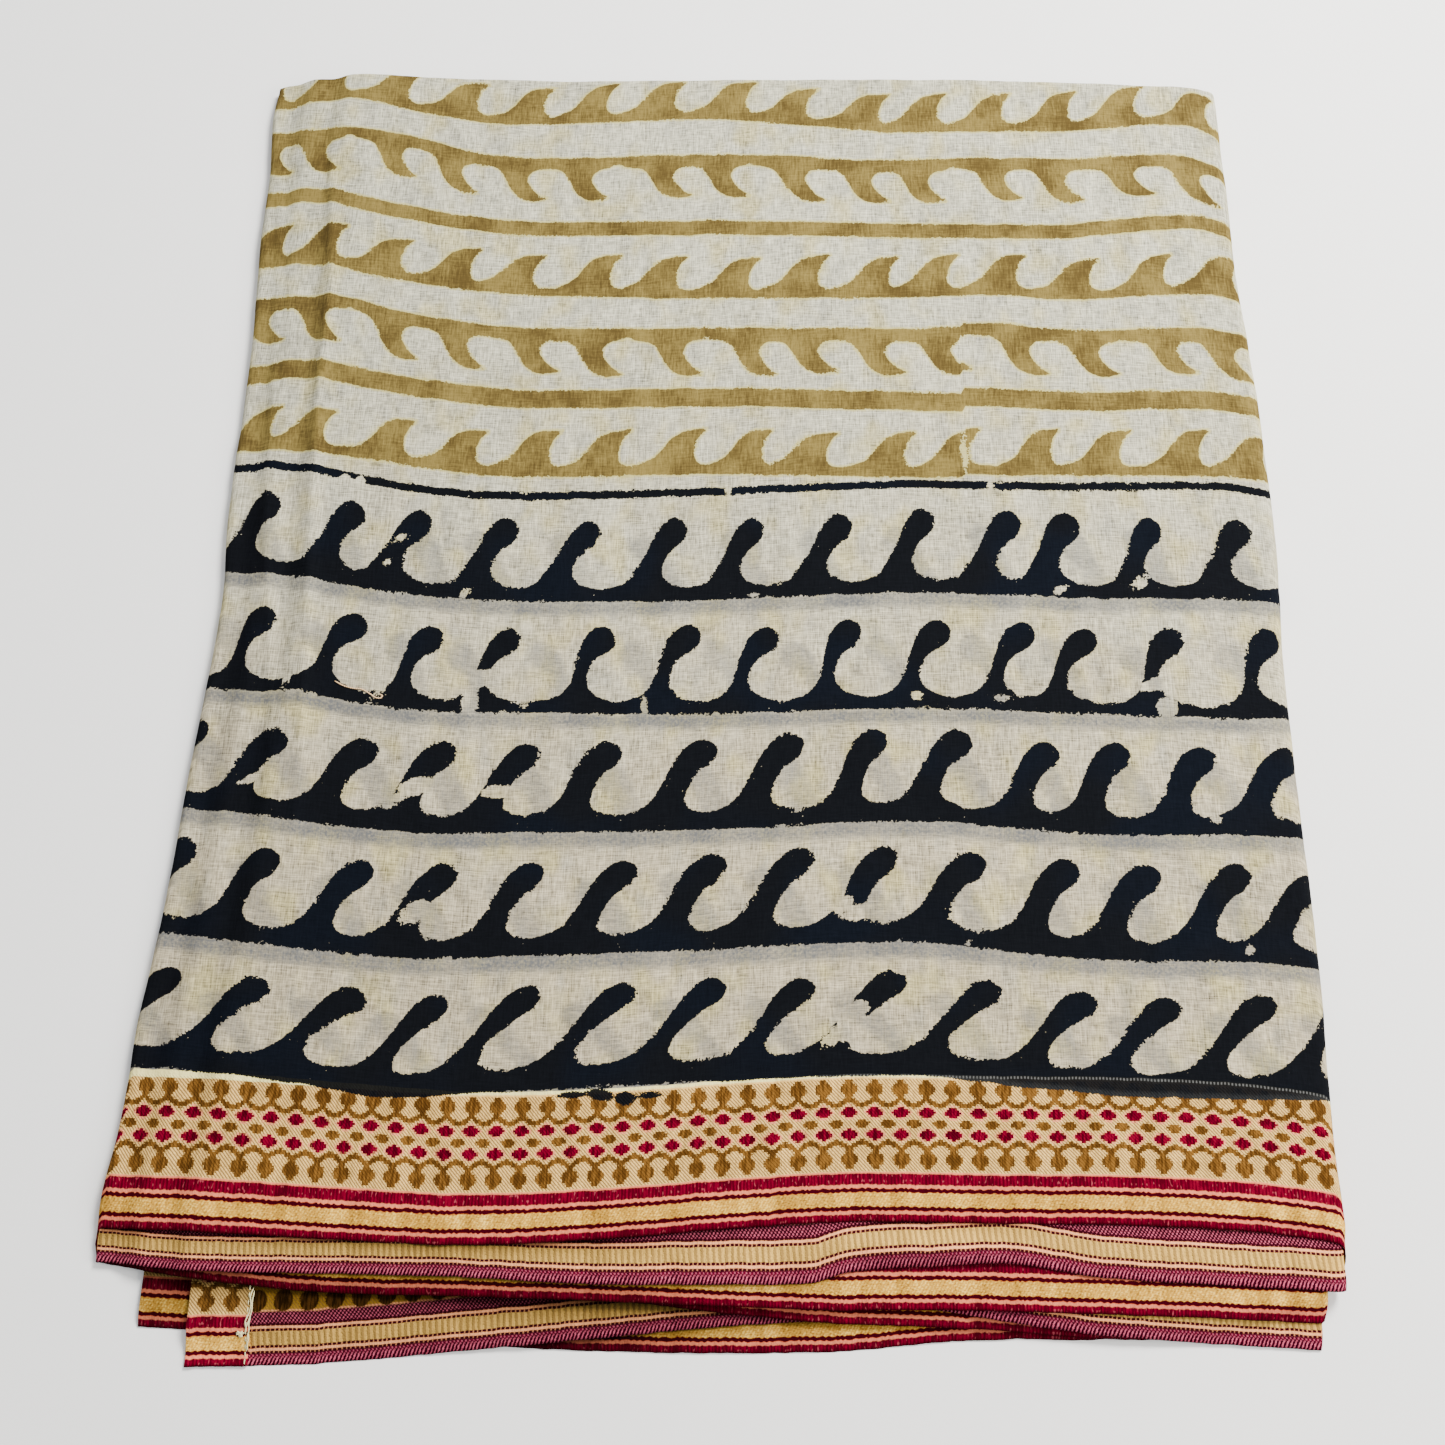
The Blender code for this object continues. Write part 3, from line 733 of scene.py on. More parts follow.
INK = {
    # The cotton's far and near tones are a lit and a shaded copy, for painted light across the face
    "cotton_far_lit": (0.400, 0.382, 0.284),
    "cotton_near_shaded": (0.362, 0.308, 0.204),
    "cotton_warm": (0.380, 0.325, 0.125),
    "cotton_grey": (0.215, 0.210, 0.180),
    "ghost": (0.116, 0.116, 0.112),
    "halo": (0.440, 0.380, 0.120),
    "ochre_light": (0.182, 0.132, 0.0370),
    "ochre_deep": (0.078, 0.052, 0.0150),
    "black": (0.0038, 0.0043, 0.0056),
    "navy": (0.0034, 0.0046, 0.0076),
    "red": (0.138, 0.0003, 0.0120),
    "red_deep": (0.056, 0.0001, 0.0044),
    "pink": (0.640, 0.170, 0.0850),
    "maroon": (0.0360, 0.0001, 0.0032),
    "gold": (0.500, 0.255, 0.0330),
    "gold_light": (0.760, 0.470, 0.0900),
    "gold_dark": (0.210, 0.092, 0.0110),
    "tan": (0.740, 0.455, 0.1350),
    "tan_hatch": (0.185, 0.095, 0.0300),
    "ball": (0.150, 0.066, 0.0120),
    "ball_deep": (0.0760, 0.0310, 0.0056),
    "halo_pink": (0.720, 0.250, 0.120),
    "pale_pink": (0.900, 0.360, 0.150),
    "cream": (0.800, 0.700, 0.280),
    "magenta": (0.098, 0.0014, 0.0150),
    "magenta_deep": (0.0220, 0.0002, 0.0044),
    "tick": (0.570, 0.105, 0.165),
    "dots": (0.0300, 0.0008, 0.0040),
    "rib": (0.740, 0.440, 0.0950),
    "rib_deep": (0.260, 0.145, 0.0380),
    "mauve": (0.0600, 0.0038, 0.0095),
    "block": (0.0230, 0.0092, 0.0008),
    "pale_ball": (0.340, 0.180, 0.0160),
    "thread": (0.880, 0.560, 0.300),
    "stitch": (0.940, 0.880, 0.480),
    "ember": (0.300, 0.030, 0.0120),
    "fleck": (0.420, 0.075, 0.0900),
    "thin_ink": (0.0150, 0.0162, 0.0172),
    "floor": (0.92, 0.91, 0.88),
}

# Where each stripe of the woven border starts, from its selvedge: the front, then the reverse
FRONT_STRIPES = (
    (0.0, "red"), (2.75, "pink"), (4.75, "gold"), (11.4, "pink"), (13.5, "red"), (17.5, "pink"),
    (18.2, "tan"), (53.8, "cream"),
)
REVERSE_STRIPES = (
    (0.0, "magenta"), (4.4, "pale_pink"), (7.0, "rib"), (12.0, "pale_pink"), (14.0, "mauve"),
    (18.9, "pale_pink"), (19.5, "pale_ball"), (28.0, "tan"), (53.8, "cream"),
)

# Bands of the border that have a pattern of their own: from, to and the softness of both ends
GOLD_BAND = (5.2, 11.0, 0.3)
RED_BAND = (13.4, 17.6, 0.2)
TAN_BAND = (18.2, 53.3, 0.4)
RIB_BAND = (7.0, 12.0, 0.3)
MAUVE_BAND = (13.8, 19.1, 0.4)

# The woven threads and figures: pitches, places and half sizes
MOTIF_PITCH = 9.78
MOTIF_PHASE = 1.5
THREAD = 0.8
HATCH_PITCH = 1.3
GROOVE_PITCH = 1.3
ROPE_LINES = (4.75, 11.4)
ROPE_HALF = 0.66
ROPE_PITCH = 2.9
DASH_ROWS = ((4.6, 6.6), (12.4, 14.3))
DASH_PITCH = 1.7
RIB_PITCH = 2.3
TICK_PITCH = 1.45
CHECK_PITCH = 1.6
TOP_BALL, LOW_BALL = 49.2, 22.8
TOP_CHAIN, LOW_CHAIN = 45.7, 26.4
CHAIN_RISE = 2.6
CHAIN_HALF = 1.15
BALL_TALL = 2.8
BALL_WIDE_SQUARED = 11.0
STEM_WIDE, STEM_TALL = 1.3, 3.9
DIAMONDS = (40.3, 32.0)
DIAMOND_WIDE, DIAMOND_TALL = 3.4, 2.3
SMALL_DIAMONDS = 36.1
SMALL_WIDE, SMALL_TALL = 3.0, 1.9
DIAMOND_POWER = 1.35
OVAL_TALL = 4.1
OVAL_WIDE_SQUARED = 14.0
BEADS_AT = 54.2

# Height of the bump of each cloth, in millimetres
COTTON_RELIEF = 0.13
FRONT_RELIEF = 0.2
REVERSE_RELIEF = 0.26
THREAD_RELIEF = 0.06
FLOOR_RELIEF = 0.02


class Term:
    """A value in a node tree, which adds and multiplies as numbers do."""

    def __init__(self, net, socket):
        self.net = net
        self.socket = socket

    def __add__(self, other):
        return self.net.math("ADD", self, other)

    def __radd__(self, other):
        return self.net.math("ADD", other, self)

    def __sub__(self, other):
        return self.net.math("SUBTRACT", self, other)

    def __rsub__(self, other):
        return self.net.math("SUBTRACT", other, self)

    def __mul__(self, other):
        return self.net.math("MULTIPLY", self, other)

    def __truediv__(self, other):
        return self.net.math("DIVIDE", self, other)

    def __neg__(self):
        return self.net.math("MULTIPLY", self, -1.0)


class Net:
    """The node tree of one material, built by short calls."""

    def __init__(self, name, roughness=0.9):
        self.material = bpy.data.materials.new(name)
        self.material.use_nodes = True
        self.tree = self.material.node_tree
        self.shader = self.tree.nodes["Principled BSDF"]
        self.shader.inputs["Roughness"].default_value = roughness
        self.shader.inputs["Specular IOR Level"].default_value = 0.02

    def node(self, kind, inputs, **settings):
        made = self.tree.nodes.new(kind)
        for key, value in settings.items():
            setattr(made, key, value)
        for key, value in inputs.items():
            socket = made.inputs[key]
            if isinstance(value, Term):
                self.tree.links.new(value.socket, socket)
            elif isinstance(value, tuple) and len(value) == 3 and socket.type == "RGBA":
                socket.default_value = (*value, 1.0)
            else:
                socket.default_value = value
        return made

    def math(self, operation, a, b=0.0):
        made = self.node("ShaderNodeMath", {0: a, 1: b}, operation=operation)
        return Term(self, made.outputs[0])

    def largest(self, *terms):
        result = terms[0]
        for term in terms[1:]:
            result = self.math("MAXIMUM", result, term)
        return result

    def size_of(self, a):
        return self.math("ABSOLUTE", a)

    def wave(self, a, pitch):
        return self.math("SINE", a * (2 * math.pi / pitch))

    def repeat(self, a, pitch, phase):
        """Distance from the nearest of evenly spaced places, with its sign."""
        return (self.math("FRACT", (a - phase) / pitch + 1000.5) - 0.5) * pitch

    def step(self, value, low, high):
        made = self.node("ShaderNodeMapRange", {"Value": value, "From Min": low, "From Max": high},
                         interpolation_type="SMOOTHSTEP")
        return Term(self, made.outputs[0])

    def band(self, value, start, end, soft):
        """1 from start to end, easing to 0 over the same softness outside it."""
        return self.step(value, start, start + soft) * self.step(value, end, end - soft)

    def attribute(self, name):
        made = self.node("ShaderNodeAttribute", {}, attribute_name=name)
        return Term(self, made.outputs["Fac"])

    def vector(self, x, y, z=0.0):
        return Term(self, self.node("ShaderNodeCombineXYZ", {0: x, 1: y, 2: z}).outputs[0])

    def noise(self, x, y, z=0.0, detail=1.0, roughness=0.5):
        """Noise between about 0 and 1, with features about one unit across."""
        inputs = {"Vector": self.vector(x, y, z), "Scale": 1.0, "Detail": detail, "Roughness": roughness}
        return Term(self, self.node("ShaderNodeTexNoise", inputs).outputs["Fac"])

    def mix(self, amount, a, b):
        """A mix of two colours, each of them a term or a name in INK."""
        a, b = (INK[colour] if isinstance(colour, str) else colour for colour in (a, b))
        made = self.node("ShaderNodeMix", {0: amount, 6: a, 7: b}, data_type="RGBA")
        return Term(self, made.outputs[2])

    def scale(self, colour, amount):
        made = self.node("ShaderNodeVectorMath", {0: colour, "Scale": amount}, operation="SCALE")
        return Term(self, made.outputs[0])

    def ramp(self, value, stripes, length, soft):
        """Stripes of colour across a length, each from its start to the next one's."""
        made = self.node("ShaderNodeValToRGB", {0: value / length})
        stops = made.color_ramp.elements
        places = [(start, INK[name]) for start, name in stripes]
        wanted = [(places[0][0], places[0][1])]
        for (_, colour), (start, following) in zip(places, places[1:]):
            wanted += [(start - soft / 2, colour), (start + soft / 2, following)]
        while len(stops) < len(wanted):
            stops.new(1.0)
        for stop, (start, colour) in zip(stops, wanted):
            stop.position = start / length
        for stop, (start, colour) in zip(stops, wanted):
            stop.color = (*colour, 1.0)
        return Term(self, made.outputs[0])

    def finish(self, colour, height, relief):
        """Base colour, and a bump of the given height in millimetres."""
        self.tree.links.new(colour.socket, self.shader.inputs["Base Color"])
        made = self.node("ShaderNodeBump", {"Height": height, "Distance": relief * MM, "Strength": 1.0})
        self.tree.links.new(made.outputs[0], self.shader.inputs["Normal"])
        return self.material


def weave(net, u, v):
    """Uneven threads both ways: the weft along v and the warp along u, each about 0 to 1."""
    weft = net.noise(u * 1.1, v * 0.14, 3.0, 2.0, 0.7)
    warp = net.noise(u * 0.14, v * 1.1, 7.0, 2.0, 0.7)
    return weft, warp


def bare_cotton(net, u, v, weft, warp):
    """The unprinted cloth in soft uneven patches, whiter far from the border: painted light."""
    patch = net.noise(u * 0.03, v * 0.03, 1.0, 2.0)
    # Painted light: lighter and cooler far from the border, painted shade near it
    far = net.step(v + (patch - 0.5) * 200.0, 80.0, 440.0)
    colour = net.mix(far, "cotton_near_shaded", "cotton_far_lit")
    warm = net.step(net.noise(u * 0.07, v * 0.05, 5.0, 1.0), 0.45, 0.72)
    colour = net.mix(warm * 0.60, colour, "cotton_warm")
    grey = net.step(net.noise(u * 0.13, v * 0.06, 9.0, 1.0), 0.48, 0.78)
    colour = net.mix(grey * 0.40, colour, "cotton_grey")
    grain = net.wave(u + weft * 0.5, 0.95) * 0.10 + net.wave(v + warp * 0.5, 0.95) * 0.10
    streak = net.noise(u * 0.11, v * 0.012, 15.0, 1.0) - 0.5
    return net.scale(colour, weft * 1.9 + warp * 1.7 - 0.78 + grain + streak * 0.5)


def printed_cotton():
    net = Net("printed_cotton")
    u, v = net.attribute("cloth_u"), net.attribute("cloth_v")
    weft, warp = weave(net, u, v)
    colour = bare_cotton(net, u, v, weft, warp)

    ghost = net.step(net.attribute("ghost") + (weft - warp) * 1.6, -1.6, 3.0)
    mottle = net.noise(u * 0.8, v * 0.8, 23.0, 1.0)
    ghost = ghost * (net.noise(u * 0.05, v * 0.05, 13.0) * 0.8 + weft * 0.9 + warp * 0.4 + mottle * 1.1 - 0.9)
    colour = net.mix(ghost, colour, "ghost")

    rough = net.step(net.noise(u * 0.05, v * 0.05, 19.0), 0.42, 0.62) * 0.9 + 0.5
    fine = (net.noise(u, v, 0.0, 1.0) - 0.5) * 2.4
    coarse = (net.noise(u * 0.33, v * 0.33, 4.0) - 0.5) * 2.2
    ragged = (fine + coarse) * rough + (weft + warp - 1.0) * 0.5
    ochre = net.attribute("ink_ochre") + ragged * 0.7
    colour = net.mix(net.step(ochre, -1.5, -0.2) * 0.75, colour, "halo")
    strength = net.noise(u * 0.06, v * 0.05, 17.0, 1.0) * 1.3 + weft * 0.8 + warp * 0.5
    brown = net.mix(net.step(strength, 0.95, 1.65), "ochre_deep", "ochre_light")
    brown = net.scale(brown, weft * 0.7 + warp * 0.5 + 0.4)
    bare = net.attribute("bare") + ragged * 1.1
    colour = net.mix(net.step(net.math("MINIMUM", ochre, -bare), -0.2, 0.2), colour, brown)

    line = BLACK_LINE_HALF - net.size_of(net.attribute("line_black"))
    black = net.math("MINIMUM", net.largest(net.attribute("ink_black"), line) + ragged, -bare)
    dark = net.mix(net.step(net.noise(u * 0.02, v * 0.02, 21.0), 0.45, 0.65), "black", "navy")
    dark = net.scale(dark, 0.3 + weft * 0.7 + warp * 0.7)
    pinhole = net.step(net.noise(u * 0.7, v * 0.7, 30.0, 1.0), 0.76, 0.80) * net.step(black, 3.4, 2.0)
    cover = net.step(black, -0.15, 0.2) * (1.0 - pinhole * 0.8)
    colour = net.mix(cover, colour, dark)
    return net.finish(colour, weft + warp, COTTON_RELIEF)


def plain_cotton():
    net = Net("plain_cotton")
    u, v = net.attribute("cloth_u"), net.attribute("cloth_v")
    weft, warp = weave(net, u, v)
    return net.finish(bare_cotton(net, u, v + 300.0, weft, warp), weft + warp, COTTON_RELIEF)


def border_net(name):
    """A net for the border, with its place on the cloth and the noises and hatch that both sides use."""
    net = Net(name)
    u, v = net.attribute("cloth_u"), net.attribute("cloth_v")
    jag = net.noise(u * 1.4, v * 1.4, 0.0, 1.0) - 0.5
    slow = net.noise(u * 0.16, v * 0.05, 31.0) - 0.5
    weft = net.noise(u * 1.1, v * 0.2, 3.0, 1.0)
    hatch = net.step(net.wave(u + v * 0.9 + jag * 0.5, HATCH_PITCH), -0.3, 0.8)
    return net, u, v, jag, slow, weft, hatch


def border_front(name="border_front", inked=False, painted_light_gain=1.0):
    """The front: stripes, rope lines, diamonds, chains and balls, and on the face some ink over them."""
    net, u, v, jag, slow, weft, hatch = border_net(name)
    rope = (net.wave(u + slow * 8.0, ROPE_PITCH) * 0.13 + slow * 0.5) * net.step(v, 17.0, 14.0)
    place = v + jag * 0.35 + rope
    colour = net.ramp(place, FRONT_STRIPES, BORDER + 3, 0.3)

    ground = net.band(v, *TAN_BAND)
    colour = net.mix(ground * hatch * 0.85, colour, "tan_hatch")

    loops = net.noise(u * 0.75, v * 1.6, 41.0, 1.0) * 1.2 - 0.6
    loops = loops + net.wave(u - v * 0.6 + jag, GROOVE_PITCH) * 0.12 + slow * 0.6
    gold = net.band(place, *GOLD_BAND)
    colour = net.mix(gold * net.step(loops, 0.0, 0.30), colour, "gold_light")
    colour = net.mix(gold * net.step(loops, -0.08, -0.34) * 0.8, colour, "gold_dark")

    near_rope = net.math("MINIMUM", *[net.size_of(place - centre) for centre in ROPE_LINES])
    lines = ROPE_HALF + net.wave(u + slow * 8.0 + 0.8, ROPE_PITCH) * 0.14 - near_rope
    colour = net.mix(net.step(lines, -0.28, -0.1) * 0.8, colour, "ember")
    colour = net.mix(net.step(lines, -0.08, 0.12), colour, "maroon")

    reds = net.step(place, 2.8, 2.6) + net.band(place, *RED_BAND)
    grooves = weft + slow * 0.6 + net.wave(u + jag * 0.4, GROOVE_PITCH) * 0.16
    colour = net.mix(reds * net.step(grooves, 0.68, 0.36) * 0.9, colour, "red_deep")
    fleck = net.step(net.noise(u * 1.3, v * 0.5, 11.0, 0.0), 0.66, 0.78)
    colour = net.mix(reds * fleck * 0.55, colour, "fleck")

    thread_u = net.math("SNAP", u, THREAD) + THREAD / 2
    thread_v = net.math("SNAP", v, THREAD) + THREAD / 2
    wide = net.size_of(net.repeat(thread_u, MOTIF_PITCH, MOTIF_PHASE))
    half = net.size_of(net.repeat(thread_u, MOTIF_PITCH, MOTIF_PHASE + MOTIF_PITCH / 2))
    rise = net.size_of(net.wave(thread_u - MOTIF_PHASE, 2 * MOTIF_PITCH)) * CHAIN_RISE

    def ball(centre, outward):
        height = (thread_v - centre) / BALL_TALL
        body = 1.0 - net.math("SQRT", wide * wide / BALL_WIDE_SQUARED + height * height)
        past = STEM_TALL - net.size_of(thread_v - centre - outward * 0.4)
        return net.largest(body, net.math("MINIMUM", STEM_WIDE - wide, past) * 0.4)

    def lozenge(wide_share, tall_share):
        across_part = net.math("POWER", wide_share, DIAMOND_POWER)
        return 1.0 - across_part - net.math("POWER", tall_share, DIAMOND_POWER)

    chains = net.largest(CHAIN_HALF - net.size_of(thread_v - TOP_CHAIN + rise),
                         CHAIN_HALF - net.size_of(thread_v - LOW_CHAIN - rise)) * 0.6
    small = lozenge(half / SMALL_WIDE, net.size_of(thread_v - SMALL_DIAMONDS) / SMALL_TALL)
    brown = net.largest(ball(TOP_BALL, -1), ball(LOW_BALL, 1), chains, small)
    brown_ink = net.mix(net.step(weft + slow * 0.4, 0.38, 0.66), "ball_deep", "ball")
    colour = net.mix(net.step(brown + jag * 0.25, -0.05, 0.06), colour, brown_ink)

    near_line = net.math("MINIMUM", *[net.size_of(thread_v - centre) for centre in DIAMONDS])
    diamond = lozenge(wide / DIAMOND_WIDE, near_line / DIAMOND_TALL) + jag * 0.15
    halo = net.step(diamond, -0.36, -0.22) * net.step(diamond, 0.1, -0.05)
    colour = net.mix(halo, colour, "halo_pink")
    diamond_ink = net.mix(net.step(weft, 0.6, 0.4), "red", "red_deep")
    colour = net.mix(net.step(diamond, -0.05, 0.06), colour, diamond_ink)
    margin = net.step(v + net.step(u, -70.0, -225.0) * 1.5, 53.5, 53.9)
    colour = net.mix(margin, colour, "cream")
    # Painted shade and light: besides the threads, darker at the selvedge, painted shadow of the layers
    # above, slow lighter and darker stretches
    light = (0.72 + weft * 0.56) * net.step(v, -0.5, 0.9) * net.attribute("shade") * (1.0 + slow * 0.7)
    # A gain above 1 paints light: it makes a lit copy of this border
    colour = net.scale(colour, light * painted_light_gain)
    if inked:
        black = net.attribute("ink_black") + jag * 1.6
        full = net.step(u, 60.0, 20.0)
        thin = net.mix(net.largest(net.step(black, 0.8, 3.0) * 0.9, full), "thin_ink", "black")
        thin = net.scale(thin, 0.5 + weft * 0.7 + hatch * 0.3)
        beads = net.step(net.wave(u + jag * 0.4, GROOVE_PITCH), -0.2, 0.5)
        beads = beads * net.step(net.size_of(v - BEADS_AT), 0.6, 0.3)
        thin = net.mix(beads * (0.7 - full * 0.7), thin, "ghost")
        colour = net.mix(net.step(black, -0.1, 0.2) * 0.995, colour, thin)
    height = weft + jag + hatch * ground * 0.6 - net.step(lines, -0.2, 0.2) * 0.8
    return net.finish(colour, height, FRONT_RELIEF)


def border_reverse():
    """The reverse: a ticked edge, ribs, dash rows, a checked mauve band and dim ovals."""
    net, u, v, jag, slow, weft, hatch = border_net("border_reverse")
    place = v + jag * 0.3 + slow * 0.4
    colour = net.ramp(place, REVERSE_STRIPES, BORDER + 3, 0.4)

    rib = net.step(net.wave(u + v * 0.1 + jag * 0.9 + slow, RIB_PITCH), -0.6, 0.7)
    ribbed = net.band(v, *RIB_BAND)
    colour = net.mix(ribbed * (0.15 + rib * 0.6 + weft * 0.2), colour, "rib_deep")

    slant = net.wave(u - v * 0.35 + jag * 0.8 + slow, TICK_PITCH)
    ticks = net.step(slant, 0.05, 0.75)
    gaps = net.step(slant, 0.15, -0.55)
    squares = net.wave(u + v * 0.3 + jag * 0.6, TICK_PITCH) * net.wave(v + jag * 0.3, CHECK_PITCH)
    checks = net.step(squares, 0.0, 0.4)
    edge = net.step(place, 4.6, 4.2)
    upper = net.step(v, 2.2, 3.2)
    colour = net.mix(edge * gaps * 0.95, colour, "magenta_deep")
    colour = net.mix(edge * ticks * (1.0 - upper) * 0.85, colour, "tick")
    colour = net.mix(edge * upper * checks * 0.55, colour, "tick")
    flecked = net.band(place, *MAUVE_BAND)
    colour = net.mix(flecked * (1.0 - checks) * 0.85, colour, "magenta_deep")
    colour = net.mix(flecked * checks * 0.7, colour, "tick")

    dashes = net.step(net.wave(u + jag * 0.6 + slow, DASH_PITCH), -0.95, -0.35)
    low, high = [net.math("MINIMUM", *[net.size_of(place - centre) for centre in pair]) for pair in DASH_ROWS]
    rows = net.math("MINIMUM", low, high)
    colour = net.mix(net.step(rows, 0.66, 0.36) * (0.5 + dashes * 0.5), colour, "dots")

    at = net.repeat(u + jag * 0.6, MOTIF_PITCH, MOTIF_PHASE)
    height = (place - LOW_BALL) / OVAL_TALL
    oval = 1.0 - net.math("SQRT", at * at / OVAL_WIDE_SQUARED + height * height) + jag * 0.3
    ground = net.step(v, 18.4, 18.8)
    colour = net.mix(ground * hatch * 0.6, colour, "tan_hatch")
    oval_ink = net.mix(net.step(weft, 0.35, 0.65), "block", "ball_deep")
    colour = net.mix(net.step(oval, -0.05, 0.10), colour, oval_ink)
    # Painted shade and light: besides the threads, darker at the selvedge, painted shadow of the layers
    # above, slow lighter and darker stretches
    light = (0.68 + weft * 0.64) * net.step(v, -0.6, 0.8) * net.attribute("shade") * (1.0 + slow * 0.6)
    colour = net.scale(colour, light)
    return net.finish(colour, weft + jag + slant * 0.3 * edge + rib * ribbed * 0.6, REVERSE_RELIEF)


def cream_thread():
    net = Net("cream_thread")
    u, v = net.attribute("cloth_u"), net.attribute("cloth_v")
    twist = net.wave(u + v * 0.3, 0.9)
    colour = net.mix(net.attribute("pinkish"), "stitch", "thread")
    return net.finish(net.scale(colour, 0.85 + twist * 0.15), twist, THREAD_RELIEF)


def floor_finish():
    net = Net("floor", 0.8)
    place = net.node("ShaderNodeTexCoord", {}).outputs["Object"]
    grain = net.node("ShaderNodeTexNoise", {"Scale": 40.0, "Detail": 3.0})
    net.tree.links.new(place, grain.inputs["Vector"])
    tone = Term(net, grain.outputs["Fac"])
    base = net.node("ShaderNodeRGB", {})
    base.outputs[0].default_value = (*INK["floor"], 1.0)
    return net.finish(net.scale(Term(net, base.outputs[0]), 0.99 + tone * 0.02), tone, FLOOR_RELIEF)


# Face of the pack: layer 1, its three folds and the part of layer 4 that it turns into

def face_cloth(cotton, border):
    left_to, right_to = LEFT_PAIRS[1], RIGHT_PAIRS[1]
    columns = layer_columns(1, FACE_STEP, left_to=left_to, right_to=right_to, tuck=TUCK)
    border_rows = steps(0, BORDER, FACE_STEP)
    field_rows = steps(0, 1, FACE_STEP / FIELD_DEPTH)[1:]
    far_roll = PITCH / 2
    points = layer_points(1, columns, border_rows, field_rows, left_to, right_to, far_roll)
    x, y, z, u, v, near, drawn = points
    side, angle = columns[:, 1][:, None], columns[:, 2][:, None]
    x, y, z, u, v = far_fold(x, y, z, u, v, side, angle, far_roll, np.radians(FAR_TURNS))
    x, y, z, u, v = with_lip(x, y, z, u, v)
    values = print_values(u, v + near + (drawn - 1) * np.clip(v, 0, BORDER))
    values["shade"] = np.ones_like(u)
    moved = u - line_at(SHIFT_ROWS, 1, u)
    piece = grid_piece("face_cloth", x, y, z, moved, v, [cotton, border], values)
    rows = x.shape[1] - 1
    index = np.tile((np.arange(rows) < len(border_rows)).astype(np.int32), x.shape[0] - 1)
    piece.data.polygons.foreach_set("material_index", index)
    state(piece, u, v, "inner_cloth", "printed_cotton", "face_panel")
    return piece


def state(piece, u, v, below, slot, *nodes):
    """Hides the parts of the model that a piece of cloth replaces; its material and the size that it was cut
    to are not used.
    """
    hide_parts(*nodes)


def strip(layer, material, slot):
    """The stretch of a lower layer that shows, from its selvedge to under the layer above."""
    first = HEM_SHARE.get(layer, FIRST_SHARE)
    left_to = LEFT_PAIRS.get(layer)
    right_to = RIGHT_PAIRS.get(layer)
    last = LAST_SHARE - INSET_SHARE.get(layer, 0)
    columns = layer_columns(layer, STRIP_STEP, first=first, last=last, left_to=left_to, right_to=right_to)
    depth = STRIP_BACK - min(row[layer] for row in NEAR_ROWS)
    rows = steps(0, depth, STRIP_ROW_STEP)
    x, y, z, u, v = with_lip(*layer_points(layer, columns, rows, None, left_to, right_to)[:5])
    piece = grid_piece(f"border_cloth_{layer}", x, y, z, u, v, [material], {"shade": shade(layer, x, y)})
    below = f"border_cloth_{layer + 1}" if layer < LAYERS else "under_cloth"
    way = slot.split("_")[1]
    state(piece, u, v, below, slot, f"border_{layer}_{way}")
    return piece


def hem_place(t, v):
    """A point on the turned hem: t across from its fold, v from its selvedge; x, y and z."""
    t, v = np.broadcast_arrays(np.asarray(t, float), np.asarray(v, float))
    fold = across(HEM_SHARE[6], 0)
    y = near_edge(6, fold + t) + 0.2 * wander(t, 61, 5, 30) + v
    x = across(HEM_SHARE[6], y) + t
    z = layer_height(6, HEM_SHARE[6] + np.maximum(t, 0) / pack_width(y), y)
    return x, y, z


def hem_cloth(material):
    """The end of the cloth, turned over once onto layer 6 with its front up."""
    flat = steps(0, HEM_WIDTH, HEM_STEP)
    turned = steps(math.pi, 0, TIGHT_TURN)[:-1]
    angles = np.concatenate([turned, np.zeros(len(flat) + 1)])
    t = np.concatenate([0 * turned, flat, [HEM_WIDTH]])
    drop = np.zeros(len(t))
    drop[-1] = 2 * HEM_RADIUS - 0.1
    rows = steps(0, HEM_DEPTH, STRIP_ROW_STEP)
    t, angles, drop = t[:, None], angles[:, None], drop[:, None]
    v = rows[None, :] + 0 * t
    x, y, z = hem_place(t + 0 * v, v)
    x = x - HEM_RADIUS * np.sin(angles)
    loft = 0.25 * wander(v, 62, 8, 40) * smooth(0, 6, t) + 0.15 * wander(t, 63, 6, 25)
    z = z + HEM_RADIUS * (1 + np.cos(angles)) + np.maximum(loft, -0.2) * (t > 0) - drop
    u = MOTIF_PHASE - 6.0 + t - HEM_RADIUS * angles + 0 * v
    x, y, z, u, v = with_lip(x, y, z, u, v)
    piece = grid_piece("hem_cloth", x, y, z, u, v, [material], {"shade": shade(6, x, y)})
    state(piece, u, v, "border_cloth_6", "border_front", "hem_turn")
    return piece


def grids_piece(name, grids, material, extra=None):
    """One mesh object from several grids, each of x, y, z, u and v."""
    points, faces, u_all, v_all, count = [], [], [], [], 0
    for x, y, z, u, v in grids:
        points.append(place(x, y, z))
        faces.append(grid_faces(*x.shape) + count)
        u_all.append(u.ravel())
        v_all.append(v.ravel())
        count += x.size
    values = {"cloth_u": np.concatenate(u_all), "cloth_v": np.concatenate(v_all)}
    for label, value in (extra or {}).items():
        values[label] = np.full(count, value)
    return new_piece(name, np.concatenate(points), np.concatenate(faces), [material], values)


